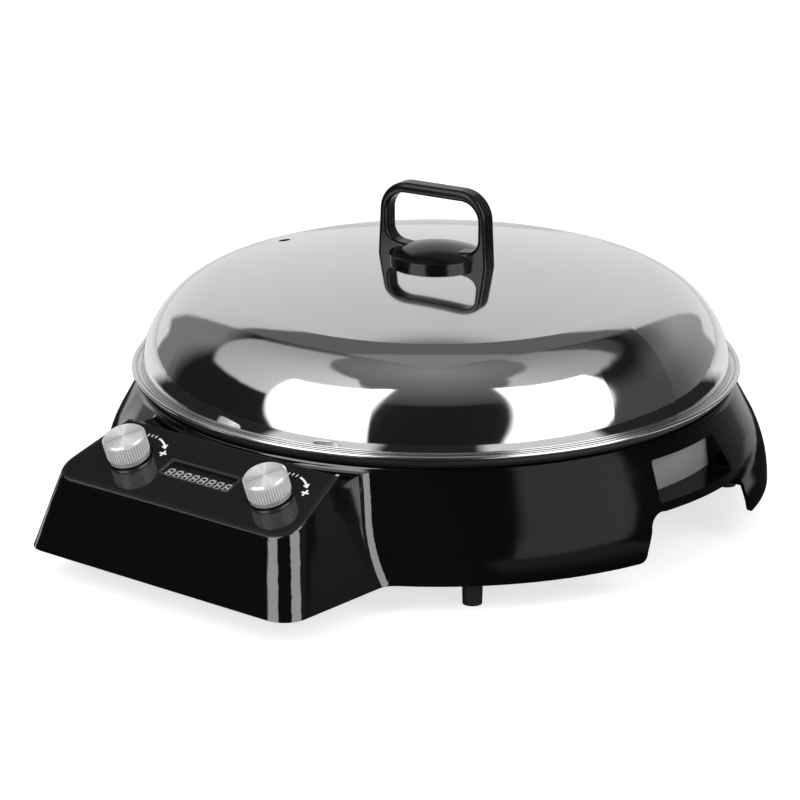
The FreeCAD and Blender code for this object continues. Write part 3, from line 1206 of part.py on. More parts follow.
def mains_inlet():
    flange = box("inlet_flange_plate", "inlet_wide + 2 * inlet_ears", "inlet_flange", "inlet_high",
                 "-inlet_wide / 2 - inlet_ears", "inlet_face", "inlet_z - inlet_high / 2")
    inner_w, inner_h = "(inlet_wide - inlet_lip - 2 * panel_gap)", "(inlet_high - inlet_lip - 2 * panel_gap)"
    trunk = box("inlet_trunk", inner_w, "inlet_deep", inner_h, f"-{inner_w} / 2", "inlet_face - inlet_deep",
                f"inlet_z - {inner_h} / 2")
    socket_w, socket_h = "(inlet_wide - 3 * inlet_lip)", "(inlet_high - 3 * inlet_lip)"
    socket = box("inlet_socket_room", socket_w, "inlet_socket + 1", socket_h, f"-{socket_w} / 2",
                 "inlet_face + inlet_flange - inlet_socket", f"inlet_z - {socket_h} / 2")
    holes = [rod(f"inlet_ear_hole_{side}", "screw_radius + screw_gap", "4 * inlet_flange",
                 f"{side} * (inlet_wide + inlet_ears) / 2", "inlet_face - inlet_flange", "inlet_z",
                 along="Y") for side in (-1, 1)]
    on_drum(cut("inlet_cut", fuse("inlet_block", flange, trunk), socket, *holes), "mains_inlet")
    pins = []
    for n, (sx, sz) in enumerate(((-1, -0.5), (1, -0.5), (0, 0.5))):
        pins.append(box(f"inlet_blade_{n}", "blade_thick", "inlet_socket * 0.8", "blade_high",
                        f"{sx} * blade_spread - blade_thick / 2", "inlet_face + inlet_flange - inlet_socket",
                        f"inlet_z + {sz} * blade_high - blade_high / 2"))
    on_drum(pack_together("inlet_blade_group", *pins), "inlet_pins")
    screws = []
    for side in (-1, 1):
        x = f"{side} * (inlet_wide + inlet_ears) / 2"
        stem = rod(f"inlet_stem_{side + 1}", "screw_radius", "inlet_flange + wall", x, "inlet_face - wall",
                   "inlet_z", along="Y")
        head = rod(f"inlet_head_{side + 1}", "screw_radius * 1.6", "screw_radius", x,
                   "inlet_face + inlet_flange", "inlet_z", along="Y")
        screws.append(fuse(f"inlet_screw_{side + 1}", stem, head))
    on_drum(pack_together("inlet_screw_group", *screws), "inlet_screws")


def lead(name, points):
    """A round lead along straight runs with round bends, from points written as formulas."""
    spots = [Vector(*[num(value) for value in point]) for point in points]
    radius = num("lead_radius")
    bend = radius * 4
    edges = []
    start = spots[0]
    for before, corner, after in zip(spots, spots[1:], spots[2:]):
        inward, outward = (corner - before).normalize(), (after - corner).normalize()
        half = inward.getAngle(outward) / 2
        reach = bend * math.tan(half)
        a, b = corner - inward * reach, corner + outward * reach
        centre = corner + (outward - inward).normalize() * (bend / math.cos(half))
        middle = centre + (corner - centre).normalize() * bend
        edges.append(Part.LineSegment(start, a).toShape())
        edges.append(Part.Arc(a, middle, b).toShape())
        start = b
    edges.append(Part.LineSegment(start, spots[-1]).toShape())
    path = Part.Wire(edges)
    circle = Part.Circle(spots[0], spots[1] - spots[0], radius)
    thing = make("Part::Feature", name)
    thing.Shape = path.makePipeShell([Part.Wire([circle.toShape()])], True, False)
    return thing


def leads():
    low = "cover_top + 1.3 * lead_radius"
    clamp_z = "parts_z + terminal_high / 4"
    back, front = "inlet_face - inlet_deep", "-bay_board_back"
    supply = []
    for n, side in enumerate((-1, 1)):
        x_end = f"{side} * terminal_pitch / 2"
        supply.append(lead(f"supply_lead_{n}", [
            (f"{side} * blade_spread", back, "inlet_z"),
            (f"{side} * blade_spread", f"{back} - lead_dip", "inlet_z"),
            (f"{side} * lead_side", f"{back} - 3 * lead_dip", low),
            (f"{side} * lead_side", f"{front} + 2.4 * lead_dip", low),
            (x_end, f"{front} + lead_dip", clamp_z), (x_end, f"{front} - wall / 3", clamp_z)]))
    on_drum(pack_together("supply_lead_group", *supply), "supply_leads")
    element = []
    for n, side in enumerate((-1, 1)):
        x, y = element_pin_places()[n]
        x_end = f"{side} * terminal_pitch * 1.5"
        element.append(lead(f"element_lead_{n}", [
            (x, y, "pan_low - pin_below"), (x, y, "pan_low - pin_below - lead_drop"),
            (f"{side} * 5 * terminal_pitch", f"{front} + 2 * lead_dip", f"{clamp_z} + terminal_high / 8"),
            (x_end, f"{front} + lead_dip", clamp_z), (x_end, f"{front} - wall / 3", clamp_z)]))
    on_drum(pack_together("element_lead_group", *element), "element_leads")
    jumpers = []
    for n, side in enumerate((-1, 1)):
        angle = f"(270 + {side} * element_gap_turn / 2)"
        near, far = "(element_inner + pin_radius + screw_gap)", "(element_outer - pin_radius - screw_gap)"
        jumpers.append(lead(f"jumper_{n}", [
            (f"{near} * cos({angle})", f"{near} * sin({angle})", "pan_low - pin_below / 2"),
            (f"{far} * cos({angle})", f"{far} * sin({angle})", "pan_low - pin_below / 2")]))
    on_drum(pack_together("jumper_group", *jumpers), "element_jumpers")


def crown_radius(offset):
    """Radius of the lid's crown that runs smoothly into its shoulder."""
    return ("((crown_across * crown_across + crown_up * crown_up - dome_shoulder * dome_shoulder)"
            f" / (2 * (crown_up - dome_shoulder)) - {offset})")


def lid_outline(offset, foot):
    """Corners of the lid's dome, drawn in by an offset: crown, shoulder and wall down to a height."""
    crown = crown_radius("0")
    rise = f"(lid_top - {crown})"
    lean = f"atan2(lid_spring - {rise}; crown_across)"
    shoulder = f"(dome_shoulder - {offset})"
    meet_r = f"crown_across + {shoulder} * cos({lean})"
    meet_z = f"lid_spring + {shoulder} * sin({lean})"
    wall_r = f"crown_across + sqrt({shoulder} * {shoulder} - ({foot} - lid_spring) * ({foot} - lid_spring))"
    return [("0", f"lid_top - {offset}"), (meet_r, meet_z), (wall_r, foot)]


def lid_dome():
    seat = "rim_top"
    outer = lid_outline("0", f"({seat} + lid_sheet)")
    inner = lid_outline("lid_sheet", f"({seat})")
    corners = [outer[0], inner[0], inner[1], inner[2], ("lid_radius - bead_radius", seat),
               ("lid_radius - bead_radius", f"{seat} + lid_sheet"), outer[2], outer[1]]
    body = body_of("lid_body")
    outline = body_sketch(body, "lid_outline", "XZ_Plane")
    draw(outline, corners, {1: (crown_radius("lid_sheet"), -1), 2: ("dome_shoulder - lid_sheet", -1),
                            6: ("dome_shoulder", 1), 7: (crown_radius("0"), 1)})
    turn(body, "lid_turned", outline)
    bead = body_sketch(body, "bead_outline", "XZ_Plane")
    draw_circle(bead, "lid_radius - bead_radius", f"{seat} + bead_radius", "bead_radius")
    turn(body, "bead_turned", bead)
    holes = body_sketch(body, "lid_holes", lift="lid_top")
    draw_circle(holes, "-vent_out", "0", "vent_radius")
    draw_circle(holes, "0", "0", "stud_radius + screw_gap")
    pocket(body, "lid_hole_cut", holes, "dome_rise / 2")
    rivets = body_sketch(body, "rivet_holes", "XZ_Plane", lift=None)
    for side in (-1, 1):
        draw_circle(rivets, f"{side} * rivet_spread", "rivet_z", "rivet_radius + screw_gap")
    pocket(body, "rivet_hole_cut", rivets, "lid_radius")
    doc.recompute()
    on_drum(body, "lid_dome")


def dome_solid(name, grow):
    """The lid's outside as a full solid, grown by an amount, for pieces that lie against it."""
    outline = lid_outline(f"(0 - {grow})", "rim_top")
    return spin(name, [outline[0], ("0", "rim_top"), outline[2], outline[1]],
                {2: (f"dome_shoulder + {grow}", 1), 3: (crown_radius(f"(0 - {grow})"), 1)})


def handle():
    body = body_of("handle_body")
    loop = body_sketch(body, "handle_loop", "XZ_Plane")
    foot = "lid_top - handle_sink"
    top = "lid_top + handle_top"
    corner_z = "lid_top + handle_top - handle_corner"
    flat = "handle_waist - handle_corner"
    draw(loop, [
        ("-handle_half", foot), ("handle_half", foot), ("handle_waist", corner_z), (flat, top),
        (f"-({flat})", top), ("-handle_waist", corner_z)],
        {2: ("handle_corner", 1), 4: ("handle_corner", 1)})
    inner = "handle_waist - handle_leg"
    inner_flat = "handle_waist - handle_leg - handle_inner_corner"
    foot_x = "handle_waist - handle_leg - handle_foot_curve"
    foot_z = "lid_top + handle_foot_rise"
    draw(loop, [
        (f"-({inner_flat})", f"{top} - handle_bar"), (inner_flat, f"{top} - handle_bar"),
        (inner, f"{top} - handle_bar - handle_inner_corner"), (inner, f"{foot_z} + handle_foot_curve"),
        (foot_x, foot_z), ("disc_radius / 2", f"{foot_z} - 1.2"), ("-disc_radius / 2", f"{foot_z} - 1.2"),
        (f"-({foot_x})", foot_z), (f"-({inner})", f"{foot_z} + handle_foot_curve"),
        (f"-({inner})", f"{top} - handle_bar - handle_inner_corner")],
        {1: ("handle_inner_corner", -1), 3: ("handle_foot_curve", -1), 7: ("handle_foot_curve", -1),
         9: ("handle_inner_corner", -1)})
    pad(body, "handle_depth", loop, "handle_deep", both=True)

    def long_edge(edge):
        a, b = ends(edge)
        level = abs(abs(a.y) - num("handle_deep / 2")) < 0.01 and abs(a.y - b.y) < 0.01
        return level and max(a.z, b.z) > num("lid_top")

    soften(body, "handle_softened", long_edge, "handle_soft")
    disc = body_sketch(body, "disc_outline", "XZ_Plane")
    draw(disc, [("0", foot), ("disc_radius", foot), ("disc_radius", "lid_top + disc_edge"),
                ("0", "lid_top + disc_rise")],
         {2: ("(disc_radius * disc_radius + (disc_rise - disc_edge) * (disc_rise - disc_edge))"
              " / (2 * (disc_rise - disc_edge))", 1)})
    turn(body, "disc_turned", disc)
    doc.recompute()
    bore = rod("handle_bore", "stud_radius", "stud_long + handle_sink", z=foot)
    seat = make("Part::Sphere", "handle_seat")
    bind(seat, Radius=crown_radius("0"), Placement__Base__z=f"lid_top - {crown_radius('0')}")
    on_drum(cut("handle_cut", body, seat, bore), "lid_handle", turned="handle_turn")

    under = "lid_top - lid_sheet - washer_gap"
    stem = rod("stud_stem", "stud_radius", f"lid_top + stud_long - ({under} - washer_thick)",
               z=f"{under} - washer_thick")
    head = rod("stud_head", "stud_radius * 1.8", "stud_radius", z=f"{under} - washer_thick - stud_radius")
    on_drum(fuse("stud_fused", stem, head), "handle_screw")
    washer = rod("washer_disc", "washer_radius", "washer_thick", z=f"{under} - washer_thick")
    washer_hole = rod("washer_hole", "stud_radius + screw_gap", "washer_thick * 3",
                      z=f"{under} - washer_thick * 2")
    on_drum(cut("washer_cut", washer, washer_hole), "handle_washer")


def lid_hinge():
    barrel = rod("barrel_rod", "barrel_radius", "2 * barrel_half", "-barrel_half", "hinge_back", "hinge_z",
                 along="X")
    arm_low = "rim_top + 2 * bead_radius + ear_gap"
    arm = box("bracket_arm", "2 * barrel_half", "hinge_back - dome_radius + dome_shoulder / 4", "arm_thick",
              "-barrel_half", "dome_radius - dome_shoulder / 4", arm_low)
    skin = cut("leaf_skin", dome_solid("leaf_outside", "leaf_thick"), dome_solid("leaf_inside", "0"))
    leaf_area = box("leaf_area", "2 * leaf_half", "lid_radius", "leaf_high", "-leaf_half", "dome_shoulder",
                    arm_low)
    leaf = common("bracket_leaf", skin, leaf_area)
    clear_arm = cut("arm_clear", arm, dome_solid("arm_seat", "0"))
    heel = make("Part::Box", "heel_bar")
    bind(heel, Length="2 * barrel_half", Width="barrel_radius + heel_long", Height="heel_thick")
    heel.Placement = Placement(Vector(), Rotation(Vector(1, 0, 0), num("open_turn")))
    heel.setExpression("Placement.Rotation.Angle", full("open_turn"))
    bind(heel, Placement__Base__x="-barrel_half",
         Placement__Base__y="hinge_back + heel_thick / 2 * sin(open_turn)",
         Placement__Base__z="hinge_z - heel_thick / 2 * cos(open_turn)")
    bore = rod("barrel_bore", "hinge_pin_radius + hinge_pin_gap", "4 * barrel_half", "-2 * barrel_half",
               "hinge_back", "hinge_z", along="X")
    rivet_holes = [rod(f"leaf_hole_{side + 1}", "rivet_radius + screw_gap", "lid_radius",
                       f"{side} * rivet_spread", "dome_shoulder", "rivet_z", along="Y") for side in (-1, 1)]
    on_drum(cut("bracket_cut", fuse("bracket_block", barrel, clear_arm, leaf, heel), bore, *rivet_holes),
            "lid_hinge_bracket")

    rise = "(rivet_z - lid_spring)"
    wall_y = f"(crown_across + sqrt(dome_shoulder * dome_shoulder - {rise} * {rise}))"
    rivets = []
    for side in (-1, 1):
        x = f"{side} * rivet_spread"
        sag = f"({wall_y} - sqrt({wall_y} * {wall_y} - rivet_spread * rivet_spread))"
        face = f"({wall_y} - {sag})"
        stem = rod(f"rivet_stem_{side + 1}", "rivet_radius", "lid_sheet * 2.2 + leaf_thick * 1.9 + 2", x,
                   f"{face} - lid_sheet * 2.2 - 1", "rivet_z", along="Y")
        head = rod(f"rivet_out_{side + 1}", "rivet_head", "rivet_radius / 2", x,
                   f"{face} + leaf_thick * 1.9 + 1", "rivet_z", along="Y")
        tail = rod(f"rivet_in_{side + 1}", "rivet_head", "rivet_radius / 2", x,
                   f"{face} - lid_sheet * 2.2 - 1 - rivet_radius / 2", "rivet_z", along="Y")
        rivets.append(fuse(f"rivet_{side + 1}", stem, head, tail))
    on_drum(pack_together("rivet_group", *rivets), "bracket_rivets")

    half = "(barrel_half + ear_gap + ear_thick)"
    pin = rod("hinge_pin_rod", "hinge_pin_radius", f"2 * {half} + pin_head_thick", f"-{half}", "hinge_back",
              "hinge_z", along="X")
    head = rod("hinge_pin_head", "pin_head", "pin_head_thick", f"-{half} - pin_head_thick", "hinge_back",
               "hinge_z", along="X")
    on_drum(fuse("hinge_pin_fused", pin, head), "hinge_pin")
    clip = rod("hinge_clip_ring", "pin_head", "pin_head_thick", half, "hinge_back", "hinge_z", along="X")
    clip_hole = rod("hinge_clip_hole", "hinge_pin_radius", "4 * pin_head_thick", f"{half} - pin_head_thick",
                    "hinge_back", "hinge_z", along="X")
    on_drum(cut("hinge_clip_cut", clip, clip_hole), "hinge_pin_clip")


base_shell()
bottom_cover()
feet()
plate_and_seat()
heating()
pan_and_pad()
sensing()
control_panel()
display()
control_board()
knob_set(-1, "time")
knob_set(1, "temperature")
power_bay()
mains_inlet()
leads()
lid_dome()
handle()
lid_hinge()
doc.recompute()

for item in doc.Objects:
    if "Invalid" in item.State or "Error" in item.State:
        raise RuntimeError(f"{item.Name} failed: {item.State}")
os.makedirs("parts", exist_ok=True)
for piece in PIECES:
    if piece.Shape.isNull() or not piece.Shape.isValid() or not piece.Shape.Solids:
        raise RuntimeError(f"{piece.Label} has no valid shape")
    piece.Shape.exportStep(f"parts/{piece.Label}.step")
    print(piece.Label, len(piece.Shape.Solids), round(piece.Shape.Volume / 1000, 2))
print(len(PIECES), "pieces")
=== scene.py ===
"""Looks of the electric injera maker: finishes for every piece of the frame, the printed marks and the
numeric display on the console, and the studio that it stands in."""
import math

import bmesh
import bpy
from mathutils import Matrix, Vector


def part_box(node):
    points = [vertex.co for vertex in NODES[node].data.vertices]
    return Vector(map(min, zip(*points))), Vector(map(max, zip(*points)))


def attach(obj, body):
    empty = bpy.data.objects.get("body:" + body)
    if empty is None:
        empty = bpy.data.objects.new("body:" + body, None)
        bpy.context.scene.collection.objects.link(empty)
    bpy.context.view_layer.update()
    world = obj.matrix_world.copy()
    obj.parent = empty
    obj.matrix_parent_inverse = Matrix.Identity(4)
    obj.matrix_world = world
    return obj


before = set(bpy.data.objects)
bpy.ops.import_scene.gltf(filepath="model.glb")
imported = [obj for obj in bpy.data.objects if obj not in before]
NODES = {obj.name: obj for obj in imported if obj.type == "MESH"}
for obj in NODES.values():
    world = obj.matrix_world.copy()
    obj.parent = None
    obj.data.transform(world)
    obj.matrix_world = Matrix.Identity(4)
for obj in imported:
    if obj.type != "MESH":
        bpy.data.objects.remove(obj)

bl_info = {
    "name": "Electric Injera Maker",
    "version": (1, 0, 0),
    "blender": (4, 5, 0),
    "location": "View3D > Sidebar > Injera Maker",
    "description": "Finishes, console print, display and studio for an electric injera maker",
    "category": "Object",
}


def middle(node):
    low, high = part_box(node)
    return (Vector(low) + Vector(high)) / 2


SLOPE = math.radians(20.4)
ALONG = Vector((0, math.cos(SLOPE), math.sin(SLOPE)))
OUT = Vector((0, -math.sin(SLOPE), math.cos(SLOPE)))
DRUM_Y = middle("cooking_plate").y
EDGE = Vector((0, DRUM_Y - 0.29809, 0.07456))
KNOB_X = abs(middle("time_knob").x)
KNOB_V = 0.0375
LID_RADIUS = 0.225


def on_panel(x, v, w=0.0):
    """A point of the console from metres across, up the slope and out of it."""
    return EDGE + Vector((x, 0, 0)) + ALONG * v + OUT * w


class Value:
    """A number that changes over a surface. Arithmetic on it adds Math nodes."""

    def __init__(self, paint, socket):
        self.paint = paint
        self.socket = socket

    def _math(self, operation, *others):
        node = self.paint.add("ShaderNodeMath", {"operation": operation})
        for slot, item in zip(node.inputs, others):
            self.paint.feed(slot, item)
        return Value(self.paint, node.outputs[0])

    def __add__(self, other):
        return self._math("ADD", self, other)

    __radd__ = __add__

    def __sub__(self, other):
        return self._math("SUBTRACT", self, other)

    def __rsub__(self, other):
        return self._math("SUBTRACT", other, self)

    def __mul__(self, other):
        return self._math("MULTIPLY", self, other)

    __rmul__ = __mul__

    def __truediv__(self, other):
        return self._math("DIVIDE", self, other)

    def __rtruediv__(self, other):
        return self._math("DIVIDE", other, self)

    def __pow__(self, other):
        return self._math("POWER", self, other)

    def root(self):
        return self._math("SQRT", self)

    def wave(self):
        return self._math("SINE", self)

    def above(self, limit):
        return self._math("GREATER_THAN", self, limit)

    def size(self):
        return self._math("ABSOLUTE", self)

    def turn_with(self, other):
        """Angle in degrees of the direction whose two parts are this value and another."""
        return self._math("ARCTAN2", self, other) * (180.0 / math.pi)

    def least(self, other):
        return self._math("MINIMUM", self, other)

    def most(self, other):
        return self._math("MAXIMUM", self, other)

    def ramp(self, low, high):
        """0 at low, 1 at high and smooth between them."""
        node = self.paint.add("ShaderNodeMapRange", {"interpolation_type": "SMOOTHSTEP"},
                              Value=self, **{"From Min": low, "From Max": high})
        return Value(self.paint, node.outputs[0])


class Paint:
    """One material's node tree."""

    def __init__(self, name):
        self.material = bpy.data.materials.new(name)
        self.material.use_nodes = True
        self.tree = self.material.node_tree
        self.tree.nodes.clear()
        self.output = self.tree.nodes.new("ShaderNodeOutputMaterial")

    def feed(self, slot, item):
        if isinstance(item, Value):
            item = item.socket
        if isinstance(item, bpy.types.NodeSocket):
            self.tree.links.new(item, slot)
        else:
            slot.default_value = item

    def add(self, kind, settings=None, **inputs):
        node = self.tree.nodes.new(kind)
        for name, value in (settings or {}).items():
            setattr(node, name, value)
        for name, item in inputs.items():
            self.feed(node.inputs[name], item)
        return node

    def place(self):
        """Where a point of the surface lies, in metres in the object's frame."""
        return self.add("ShaderNodeTexCoord").outputs["Object"]

    def parts(self, vector):
        node = self.add("ShaderNodeSeparateXYZ", Vector=vector)
        return [Value(self, item) for item in node.outputs]

    def moved(self, vector, offset=(0, 0, 0), scale=(1, 1, 1)):
        return self.add("ShaderNodeMapping", Vector=vector, Location=offset, Scale=scale).outputs[0]

    def noise(self, scale, detail=2.0, roughness=0.5, vector=None):
        node = self.add("ShaderNodeTexNoise", Vector=vector or self.place(), Scale=scale, Detail=detail,
                        Roughness=roughness)
        return Value(self, node.outputs["Fac"])

    def specks(self, scale):
        node = self.add("ShaderNodeTexVoronoi", Vector=self.place(), Scale=scale)
        return Value(self, node.outputs["Distance"])

    def blend(self, factor, first, second):
        node = self.add("ShaderNodeMix", {"data_type": "RGBA"})
        for slot, item in ((node.inputs[0], factor), (node.inputs[6], first), (node.inputs[7], second)):
            self.feed(slot, item)
        return node.outputs[2]

    def relief(self, height, depth, strength=1.0):
        return self.add("ShaderNodeBump", Height=height, Distance=depth, Strength=strength).outputs[0]

    def surface(self, **inputs):
        shader = self.add("ShaderNodeBsdfPrincipled")
        for name, item in inputs.items():
            self.feed(shader.inputs[name.replace("_", " ")], item)
        self.feed(self.output.inputs["Surface"], shader.outputs[0])
        return self.material


def colour(values):
    return (*values[:3], 1.0)


def shade(values, amount):
    return colour([item * amount for item in values])


def gloss_moulding(name, tone, rough):
    """Polished black moulding: a deep tone, a faint flow pattern and slight ripple."""
    paint = Paint(name)
    flow = paint.noise(9.0, 3.0)
    haze = paint.noise(160.0, 4.0)
    return paint.surface(
        Base_Color=paint.blend(flow, shade(tone, 0.8), shade(tone, 1.3)),
        Roughness=rough + haze * 0.03 + flow * 0.02, IOR=1.46, Specular_IOR_Level=0.42,
        Normal=paint.relief(paint.noise(55.0, 1.0), 0.00002))


def housing_moulding(name, tone, rough):
    """Polished black moulding: a clearer gloss on the console, greyer and duller behind the grip bars."""
    paint = Paint(name)
    flow = paint.noise(9.0, 3.0)
    haze = paint.noise(160.0, 4.0)
    x, y, z = paint.parts(paint.place())
    clear = 1.0 - y.ramp(DRUM_Y - 0.19, DRUM_Y - 0.165)
    far = ring_distance(paint, (0, DRUM_Y, 0), (0, 0, 1))
    # Greyer and rougher band on the inner wall behind the grip bars.
    pale_patches = (x.size().ramp(0.2, 0.202) * (1.0 - far.ramp(0.2193, 0.2197)) * z.ramp(0.0592, 0.0597)
            * (1.0 - z.ramp(0.087, 0.0875)))
    black = paint.blend(flow, shade(tone, 0.8), shade(tone, 1.3))
    return paint.surface(
        Base_Color=paint.blend(pale_patches, black, (0.24, 0.24, 0.24, 1.0)),
        Roughness=rough + haze * 0.03 + flow * 0.02 + pale_patches * 0.25, IOR=1.46, Specular_IOR_Level=0.15,
        Coat_Weight=clear, Coat_Roughness=0.04, Coat_IOR=1.9,
        Normal=paint.relief(paint.noise(55.0, 1.0), 0.00002))


def satin_moulding(name, tone, rough, grain=900.0, depth=0.00003):
    """Fine-grained black moulding, a little paler where it is handled."""
    paint = Paint(name)
    grains = paint.noise(grain, 3.0, 0.6)
    pale_patches = paint.noise(22.0, 2.0)
    return paint.surface(
        Base_Color=paint.blend(pale_patches, shade(tone, 0.8), shade(tone, 1.35)),
        Roughness=rough + grains * 0.08 + pale_patches * 0.05, Normal=paint.relief(grains, depth))


def ring_distance(paint, centre, axis):
    """Distance of a surface point from an axis."""
    offset = paint.add("ShaderNodeVectorMath", {"operation": "SUBTRACT"})
    paint.feed(offset.inputs[0], paint.place())
    offset.inputs[1].default_value = centre
    cross = paint.add("ShaderNodeVectorMath", {"operation": "CROSS_PRODUCT"})
    paint.feed(cross.inputs[0], offset.outputs[0])
    cross.inputs[1].default_value = axis
    length = paint.add("ShaderNodeVectorMath", {"operation": "LENGTH"})
    paint.feed(length.inputs[0], cross.outputs[0])
    return Value(paint, length.outputs["Value"])


def mirror_steel(name, tone, rough):
    """Polished sheet: almost a mirror, with the faint rings that the polishing wheel leaves."""
    paint = Paint(name)
    far = ring_distance(paint, (0, DRUM_Y, 0), (0, 0, 1))
    rings = paint.noise(1.0, 3.0, 0.6, vector=paint.add("ShaderNodeCombineXYZ", X=far * 900.0).outputs[0])
    rings = rings * (1.0 - far.ramp(0.206, 0.212))
    cloud = paint.noise(14.0, 2.0)
    return paint.surface(
        Base_Color=paint.blend(cloud, shade(tone, 0.97), shade(tone, 1.02)), Metallic=1.0,
        Roughness=rough + rings * 0.02 + cloud * 0.015, Normal=paint.relief(rings, 0.000003))


def along(paint, centre, way):
    """How far a surface point lies from a centre along one way."""
    offset = paint.add("ShaderNodeVectorMath", {"operation": "SUBTRACT"})
    paint.feed(offset.inputs[0], paint.place())
    offset.inputs[1].default_value = centre
    dot = paint.add("ShaderNodeVectorMath", {"operation": "DOT_PRODUCT"})
    paint.feed(dot.inputs[0], offset.outputs[0])
    dot.inputs[1].default_value = way
    return Value(paint, dot.outputs["Value"])


def spun_metal(name, tone, centre, rough):
    """Turned aluminium: fine rings, with painted highlight and painted shade in the colour for the sectors and
    streaks of light that the rings would reflect, and a painted highlight on the more metallic cut rim and on the
    side.
    """
    paint = Paint(name)
    far = ring_distance(paint, centre, tuple(OUT))
    angle = along(paint, centre, tuple(ALONG)).turn_with(along(paint, centre, (1, 0, 0)))
    # Painted highlight and shade: the streaks, the sectors, the cut rim and the side wall set how light or dark the
    # knob's colour is painted.
    streaks = paint.noise(1.0, 3.0, 0.6, vector=paint.add("ShaderNodeCombineXYZ", X=angle * 0.045).outputs[0])
    sectors = ((angle * 2.0 + 150.0) * (math.pi / 180.0)).wave() * 0.5 + 0.5
    rim = far.ramp(0.0141, 0.0145) * (1.0 - far.ramp(0.0153, 0.0155))
    marks = (far * 14000.0).wave() * 0.5 + 0.5
    side = far.ramp(0.0152, 0.0154)
    light = ((sectors * 0.62 + streaks.ramp(0.3, 0.7) * 0.38) * 0.88).most(rim).most(side)
    return paint.surface(
        Base_Color=paint.blend(light, shade(tone, 0.4), shade(tone, 1.05)), Metallic=0.25 + rim * 0.4,
        Roughness=rough + marks * 0.05, Normal=paint.relief(marks, 0.000004))


def sheet_metal(name, tone, rough, streak=(900.0, 60.0, 60.0)):
    """Rolled metal with streaks along one way."""
    paint = Paint(name)
    lines = paint.noise(1.0, 4.0, 0.6, vector=paint.moved(paint.place(), scale=streak))
    cloud = paint.noise(40.0, 2.0)
    return paint.surface(
        Base_Color=paint.blend(cloud, shade(tone, 0.85), shade(tone, 1.08)), Metallic=1.0,
        Roughness=rough + lines * 0.12, Normal=paint.relief(lines, 0.00001))


def coated_plate(name, tone):
    """Non-stick coating over cast metal: dark, satin, with fine flecks."""
    paint = Paint(name)
    flecks = 1.0 - paint.specks(900.0).ramp(0.0, 0.25)
    cloud = paint.noise(26.0, 3.0)
    return paint.surface(
        Base_Color=paint.blend(flecks * 0.5 + cloud * 0.3, shade(tone, 0.8), shade(tone, 1.9)),
        Roughness=0.36 + cloud * 0.1 - flecks * 0.08, Normal=paint.relief(paint.noise(1100.0, 3.0), 0.00002))


def heated_sheath(name, tone):
    """Element sheath, browned and dulled by heat in uneven patches."""
    paint = Paint(name)
    burnt = paint.noise(45.0, 3.0)
    return paint.surface(
        Base_Color=paint.blend(burnt, shade(tone, 0.6), (0.24, 0.16, 0.1, 1.0)), Metallic=burnt * 0.4 + 0.5,
        Roughness=0.42 + burnt * 0.2, Normal=paint.relief(paint.noise(1300.0, 2.0), 0.00002))


def fibre_blanket(name, tone):
    paint = Paint(name)
    strands = paint.noise(1.0, 4.0, 0.7, vector=paint.moved(paint.place(), scale=(700.0, 180.0, 500.0)))
    return paint.surface(
        Base_Color=paint.blend(strands, shade(tone, 0.8), colour(tone)), Roughness=0.95,
        Normal=paint.relief(strands, 0.0006))


def circuit_board(name, tone):
    """Solder mask with the pale tracks showing through as a faint pattern."""
    paint = Paint(name)
    x, y, _ = paint.parts(paint.place())
    tracks = ((x * 2200.0).wave() * (y * 1700.0).wave()).above(0.72)
    cloud = paint.noise(30.0, 2.0)
    return paint.surface(
        Base_Color=paint.blend(tracks, paint.blend(cloud, shade(tone, 0.8), colour(tone)), shade(tone, 1.9)),
        Roughness=0.34 + cloud * 0.08, Normal=paint.relief(tracks, 0.00003))


def dark_glass(name, tone):
    """Tinted window that the segments show through."""
    paint = Paint(name)
    haze = paint.noise(300.0, 2.0)
    return paint.surface(Base_Color=colour(tone), Roughness=0.05 + haze * 0.02, Alpha=0.16 + haze * 0.01,
                         Specular_IOR_Level=0.35)


def printed_ink(name, tone):
    """Screen-printed ink, slightly uneven."""
    paint = Paint(name)
    grain = paint.noise(1800.0, 2.0)
    return paint.surface(Base_Color=paint.blend(grain, shade(tone, 0.93), colour(tone)),
                         Roughness=0.45 + grain * 0.1, Normal=paint.relief(grain, 0.00001))


def dress(material, *nodes):
    """Give CAD nodes a finish."""
    for node in nodes:
        slots = NODES[node].data.materials
        if not slots:
            slots.append(material)
        for number in range(len(slots)):
            slots[number] = material


def new_piece(name, mesh, material, body="base"):
    mesh.normal_update()
    data = bpy.data.meshes.new(name)
    mesh.to_mesh(data)
    mesh.free()
    piece = bpy.data.objects.new(name, data)
    bpy.context.scene.collection.objects.link(piece)
    data.materials.append(material)
    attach(piece, body)
    return piece


def add_plate(mesh, outline, floor, thick):
    """A thin plate on the console from an outline of (across, up the slope), rounded on its upper edge."""
    lower = [mesh.verts.new(on_panel(x, v, floor)) for x, v in outline]
    upper = [mesh.verts.new(on_panel(x, v, floor + thick)) for x, v in outline]
    mesh.faces.new(upper)
    mesh.faces.new(lower[::-1])
    count = len(outline)
    for number in range(count):
        following = (number + 1) % count
        mesh.faces.new((lower[number], lower[following], upper[following], upper[number]))


def lathe(outline, steps=768):
    """A smooth ring round the drum's axis from an outline of (radius, height)."""
    mesh = bmesh.new()
    rows = []
    for step in range(steps):
        turn = 2 * math.pi * step / steps
        rows.append([mesh.verts.new((radius * math.cos(turn), DRUM_Y + radius * math.sin(turn), height))
                     for radius, height in outline])
    for step in range(steps):
        one, other = rows[step], rows[(step + 1) % steps]
        for spot in range(len(outline) - 1):
            face = mesh.faces.new((one[spot], one[spot + 1], other[spot + 1], other[spot]))
            face.smooth = True
    return mesh


